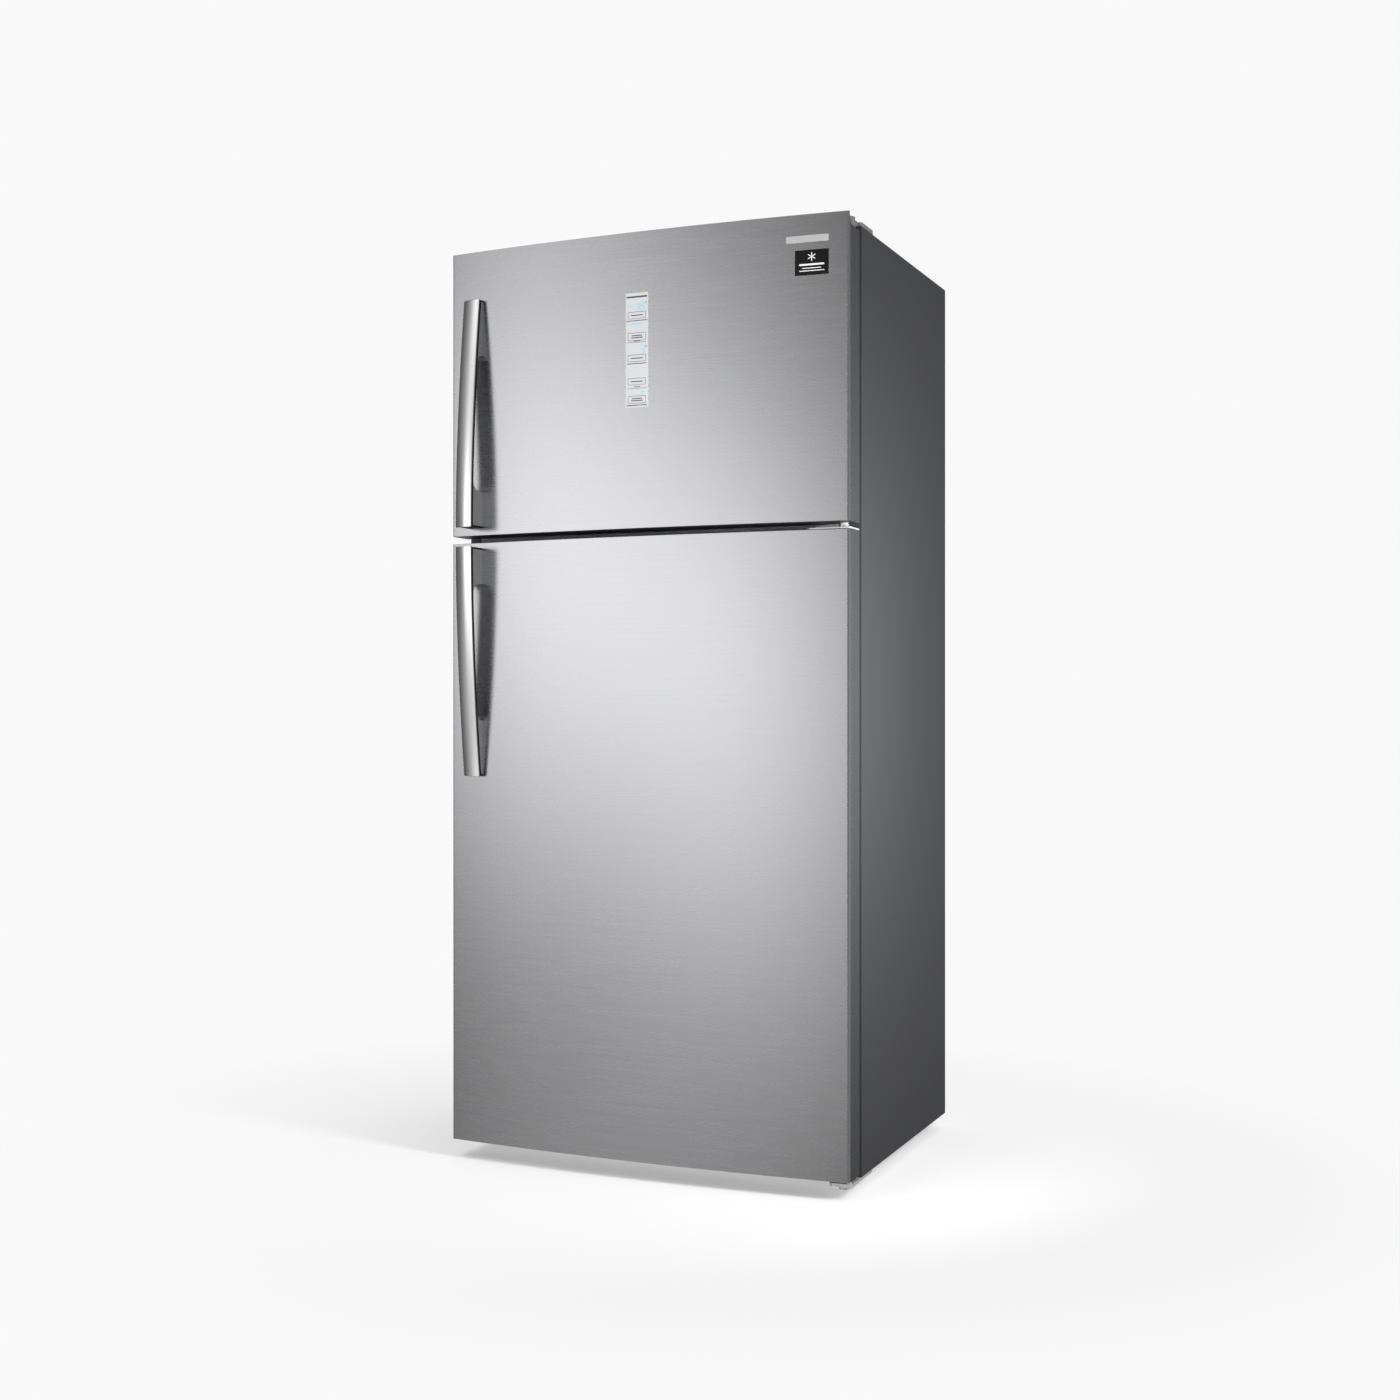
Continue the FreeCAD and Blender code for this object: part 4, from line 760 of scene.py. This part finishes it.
def add_plate(bm, outline, lift, thickness, edge=0.0):
    """A thin plate on the freezer door's front, with a bevelled rim if edge isn't 0."""
    levels = [(lift, 0), (lift + thickness - edge, 0)]
    if edge:
        levels += [(lift + thickness - edge * 0.3, edge * 0.3), (lift + thickness, edge)]
    middle_x = sum(point[0] for point in outline) / len(outline)
    middle_z = sum(point[1] for point in outline) / len(outline)
    rings = []
    for height, inset in levels:
        ring = []
        for x, z in outline:
            pull_x = inset * (1 if x < middle_x else -1)
            pull_z = inset * (1 if z < middle_z else -1)
            ring.append(on_crown(x + pull_x, z + pull_z, height))
        rings.append(ring)
    add_rings(bm, rings)


def add_bar(bm, x, top, half_width, height, radius, lift, thickness, steps=6):
    """A thin rounded bar on the freezer door's front, hung from its top and centred on x."""
    outline = rounded_outline((x - half_width, top - height), (x + half_width, top), radius, steps)
    add_plate(bm, outline, lift, thickness)


def add_frame(bm, low, high, radius, width, lift, thickness):
    """A thin outlined box on the freezer door's front."""
    outer = rounded_outline(low, high, radius)
    low = (low[0] + width, low[1] + width)
    high = (high[0] - width, high[1] - width)
    inner = rounded_outline(low, high, radius - width)
    levels = ((outer, 0), (outer, thickness), (inner, thickness), (inner, 0))
    rings = [[on_crown(x, z, lift + rise) for x, z in outline] for outline, rise in levels]
    add_rings(bm, rings, closed_path=True)


# Which strokes each seven-segment figure lights, and where each stroke starts in widths and heights.
FIGURES = {"1": "bc", "3": "abgcd", "8": "abcdefg", "-": "g"}
FLAT_STROKES = {"a": (0, 1), "g": (0, 0.5), "d": (0, 0)}
UPRIGHT_STROKES = {"f": (0, 0.5), "b": (1, 0.5), "e": (0, 0), "c": (1, 0)}


def add_digit(bm, mark, x, z, width, height, lift, thickness):
    """One seven-segment figure, from its lower left corner."""
    line = height * 0.11
    gap = line * 0.6
    lean = 0.08
    for letter in FIGURES[mark]:
        flat = letter in FLAT_STROKES
        across, up = (FLAT_STROKES if flat else UPRIGHT_STROKES)[letter]
        left = x + across * width
        low = z + up * height
        end = (width if flat else height / 2) - gap
        half = line / 2
        stroke = [
            (gap, 0), (gap + half, half), (end - half, half),
            (end, 0), (end - half, -half), (gap + half, -half),
        ]
        outline = [(left + a, low + b) if flat else (left + b, low + a) for a, b in stroke]
        leaning = [(px + (pz - z) * lean, pz) for px, pz in outline]
        add_plate(bm, leaning, lift, thickness)


def add_star(bm, x, z, reach, half_width, lift, thickness):
    """Three thin bars crossed at a point, as a plain snowflake."""
    for turn in range(3):
        angle = math.radians(60 * turn + 30)
        along = Vector((math.cos(angle), math.sin(angle))) * reach
        across = Vector((-math.sin(angle), math.cos(angle))) * half_width
        corners = [along + across, across - along, -along - across, along - across]
        add_plate(bm, [(x + c.x, z + c.y) for c in corners], lift, thickness)


# What is printed on the panel, in millimetres, each hung by its drop below the panel's top.
# Keys: drop, height and rows of bars. Rules: drop, height and share of the panel's width.
KEYS = ((37, 13.5, 1), (77.5, 15.5, 2), (120.5, 13.5, 1), (166, 13, 1), (200.5, 14.5, 2))
RULES = (
    (6.5, 3.0, 0.93), (53.5, 1.4, 0.93), (96, 0.7, 0.86), (93.5, 1.2, 0.3), (137, 1.5, 0.86),
    (182, 1.2, 0.3), (185.5, 0.7, 0.86), (218, 1.6, 0.9),
)
LAMP_RINGS = (19, 104)
# What is lit: each figure with its left edge and the drop to its foot, then the bars' middles.
LIT_FIGURES = (("-", -18, 34), ("1", -6, 34), ("8", 6, 34), ("3", 7, 119))
LIT_BARS = (-8.8, -3.3, 2.2, 7.7)


def make_panel():
    """Touch panel: a light film with outlined keys, rules and a lit display."""
    low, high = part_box("control_panel")
    left, right = low.x, high.x
    top = high.z
    body = "freezer_door"
    bm = bmesh.new()
    add_plate(bm, rounded_outline((left, low.z), (right, top), 1.5 * MM), 0, 0.6 * MM, 0.25 * MM)
    piece("panel_film", bm, body, FILM, ["control_panel"])

    lift = 0.58 * MM
    ink = 0.1 * MM
    margin = 4.6 * MM
    pitch = 4 * MM
    word = 1.8 * MM
    bm = bmesh.new()
    for drop, height, words in KEYS:
        start = top - drop * MM
        end = start - height * MM
        add_frame(bm, (left + margin, end), (right - margin, start), 1.6 * MM, 0.7 * MM, lift, ink)
        for row in range(words):
            level = (start + end) / 2 + (row - (words - 1) / 2) * pitch
            half_width = 11 * MM if row else 12.5 * MM
            add_bar(bm, 0, level + word / 2, half_width, word, 0.8 * MM, lift, ink)
    for drop, height, share in RULES:
        add_bar(bm, 0, top - drop * MM, right * share, height * MM, height * 0.45 * MM, lift, ink, 3)
    for drop in LAMP_RINGS:
        ring_low = (right - 5.6 * MM, top - (drop + 3) * MM)
        ring_high = (right - 2.6 * MM, top - drop * MM)
        add_frame(bm, ring_low, ring_high, 1.49 * MM, 0.6 * MM, lift, ink)
    piece("panel_print", bm, body, PRINT)

    lit = 0.14 * MM
    bm = bmesh.new()
    for mark, x, drop in LIT_FIGURES:
        add_digit(bm, mark, x * MM, top - drop * MM, 8.5 * MM, 16 * MM, lift, lit)
    for x in LIT_BARS:
        add_bar(bm, x * MM, top - 59.6 * MM, 2.2 * MM, 2.4 * MM, 0.5 * MM, lift, lit, 3)
    add_star(bm, 12 * MM, top - 193.5 * MM, 3.6 * MM, 0.45 * MM, lift, lit)
    piece("panel_display", bm, body, DISPLAY)


# The label's bars in millimetres: drop below its top, share of its width, and height.
LABEL_BARS = ((26, 0.74, 3.4), (33.5, 0.56, 1.6), (38.5, 0.74, 1.6))


def make_plate_and_label():
    """A blank polished plate, and a black label with a plain pattern of bars."""
    body = "freezer_door"
    low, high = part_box("nameplate")
    bm = bmesh.new()
    add_plate(bm, rounded_outline((low.x, low.z), (high.x, high.z), 2 * MM), 0, 1.2 * MM, 0.6 * MM)
    piece("blank_plate", bm, body, BADGE, ["nameplate"])

    low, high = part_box("door_label")
    bm = bmesh.new()
    add_plate(bm, rounded_outline((low.x, low.z), (high.x, high.z), 1 * MM), 0, 0.4 * MM, 0.15 * MM)
    piece("black_label", bm, body, LABEL, ["door_label"])

    middle = (low.x + high.x) / 2
    half_width = (high.x - low.x) / 2
    lift = 0.38 * MM
    ink = 0.1 * MM
    bm = bmesh.new()
    add_star(bm, middle, high.z - 13 * MM, 8 * MM, 0.8 * MM, lift, ink)
    for drop, share, height in LABEL_BARS:
        start = high.z - drop * MM
        add_bar(bm, middle, start, half_width * share, height * MM, 0.3 * height * MM, lift, ink, 3)
    piece("label_print", bm, body, LABEL_PRINT)


# ---------------------------------------------------------------- back

# A pressed rib in millimetres, as (in from where it starts, rise), and how far in each rib starts.
RIB = ((0, 0), (4, 1.8), (7, 2.4), (10, 1.8), (14, 0))
RIB_STARTS = (30, 58)


def make_back_panel():
    """Back sheet, stiffened by two pressed ribs that follow its border."""
    low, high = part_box("back_panel")
    levels = [(0, 0)]
    for start in RIB_STARTS:
        levels += [(start + across, rise) for across, rise in RIB]
    faces = [(inset, rise * MM - SHEET) for inset, rise in levels[::-1]]
    faces += [(inset, rise * MM) for inset, rise in levels]
    rings = []
    for inset, rise in faces:
        border = inset * MM
        corner = 1 * MM + border / 2
        left_foot = (low.x + border, low.z + border)
        right_top = (high.x - border, high.z - border)
        outline = rounded_outline(left_foot, right_top, corner)
        rings.append([(x, high.y + rise, z) for x, z in outline])
    bm = bmesh.new()
    add_rings(bm, rings)
    piece("back_sheet", bm, "cabinet", GALVANISED, ["back_panel"], sharp=50)


# A hexagonal screw with a round flange, as (radius, height) pairs in millimetres.
FLANGE = ((5.4, 0), (5.4, 0.5), (4.6, 1.0))
HEAD = ((3.6, 0.9), (3.6, 3.4), (3.1, 3.8))
# Where the screws sit, as shares of the height of the sheet and the cover, and of the cover's half width.
SHEET_SCREWS = (0.03, 0.26, 0.5, 0.74, 0.97)
COVER_SCREWS = (0.12, 0.88)
TOP_SCREWS = (-0.34, 0.34)


def make_back_screws():
    """Screws down both sides of the back sheet and of the machine cover, and along the cover's top."""
    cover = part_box("machine_cover")[1]
    spots = [(share * cover.x, cover.y, cover.z - 10 * MM) for share in TOP_SCREWS]
    for node, shares in (("back_panel", SHEET_SCREWS), ("machine_cover", COVER_SCREWS)):
        low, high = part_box(node)
        edge = high.x - 12 * MM
        heights = [low.z + (high.z - low.z) * share for share in shares]
        spots += [(side * edge, high.y, height) for side in (-1, 1) for height in heights]
    bm = bmesh.new()
    for spot in spots:
        for profile, steps in ((FLANGE, 24), (HEAD, 6)):
            add_lathe(bm, [(r * MM, h * MM) for r, h in profile], spot, (0, 1, 0), steps)
    piece("back_screws", bm, "cabinet", ZINC, sharp=30)


# ---------------------------------------------------------------- the rest of the frame

# What gets round edges: node, radius in millimetres, material and slot.
EASED = (
    ("freezer_door_frame", 0.6, EDGE, "door_edge_plastic"),
    ("fridge_door_frame", 0.6, EDGE, "door_edge_plastic"),
    ("freezer_door_liner", 0.8, LINER, "liner_white"),
    ("fridge_door_liner", 0.8, LINER, "liner_white"),
    ("freezer_door_bins", 0.8, CLEAR, "clear_plastic"),
    ("fridge_door_bins", 0.8, CLEAR, "clear_plastic"),
    ("cabinet_shell", 0.3, PAINT, "cabinet_paint"),
    ("mullion_rail", 0.8, RAIL, "cabinet_paint"),
    ("freezer_liner", 0.6, LINER, "liner_white"),
    ("fridge_liner", 0.6, LINER, "liner_white"),
    ("top_hinge_cover", 0.8, GREY, "grey_plastic"),
    ("top_hinge_bracket", 0.6, ZINC, "zinc_plate"),
    ("middle_hinge_bracket", 0.6, ZINC, "zinc_plate"),
    ("bottom_hinge_bracket", 0.8, ZINC, "zinc_plate"),
    ("roller_brackets", 0.5, ZINC, "zinc_plate"),
    ("shelf_frames", 1.2, LINER, "liner_white"),
    ("crisper_cover", 1.5, GLASS, "shelf_glass"),
    ("freezer_shelf_glass", 0.8, GLASS, "shelf_glass"),
    ("fridge_shelf_glass", 0.8, GLASS, "shelf_glass"),
    ("crisper_drawer", 0.8, CLEAR, "clear_plastic"),
    ("chiller_drawer", 0.8, CLEAR, "clear_plastic"),
    ("ice_bin", 0.8, ICE, "ice_plastic"),
    ("ice_tray", 0.6, ICE, "ice_plastic"),
    ("ice_maker_frame", 1.0, LINER, "liner_white"),
    ("freezer_duct_cover", 0.7, LINER, "liner_white"),
    ("fridge_duct_cover", 0.8, LINER, "liner_white"),
    ("lamp_covers", 2.0, LAMP, "lamp_diffuser"),
    ("machine_cover", 0.4, GALVANISED, "back_steel"),
    ("cord_inlet", 0.8, BLACK, "black_plastic"),
    ("evaporator_fan_shroud", 0.6, GREY, "grey_plastic"),
    ("condenser_fan_shroud", 0.6, GREY, "grey_plastic"),
    ("evaporator_fan", 0.3, BLACK, "black_plastic"),
    ("condenser_fan", 0.3, BLACK, "black_plastic"),
    ("drain_pan", 0.6, GREY, "grey_plastic"),
)

# What stays as the frame has it, with its material.
KEPT = {
    "cabinet_insulation": FOAM,
    "freezer_door_insulation": FOAM,
    "fridge_door_insulation": FOAM,
    "base_plate": GALVANISED,
    "leveling_feet": BLACK,
    "hinge_screws": ZINC,
    "evaporator_coil": ALUMINIUM,
    "defrost_heater": ALUMINIUM,
    "condenser_coil": COPPER,
    "compressor": ENAMEL,
    "compressor_grommets": RUBBER,
    "refrigerant_pipes": COPPER,
    "rear_roller_left": BLACK,
    "rear_roller_right": BLACK,
}


def dress_frame():
    """Rounds the edges of what has plain edges, and gives the rest its material."""
    for node, radius, material, slot in EASED:
        eased(node, radius * MM, material)
    for node, material in KEPT.items():
        thing = frame["nodes"][node]
        thing.data.materials.clear()
        thing.data.materials.append(material)


# ---------------------------------------------------------------- scene

scene.view_settings.view_transform = "Standard"
make_camera()
make_world()
make_floor()
make_lights()
dress_frame()
strips = []
for door_name in ("freezer", "fridge"):
    make_skin(door_name)
    make_gasket(door_name)
    strips.append(make_handle(door_name))
light_strips(strips)
make_panel()
make_plate_and_label()
make_back_panel()
make_back_screws()
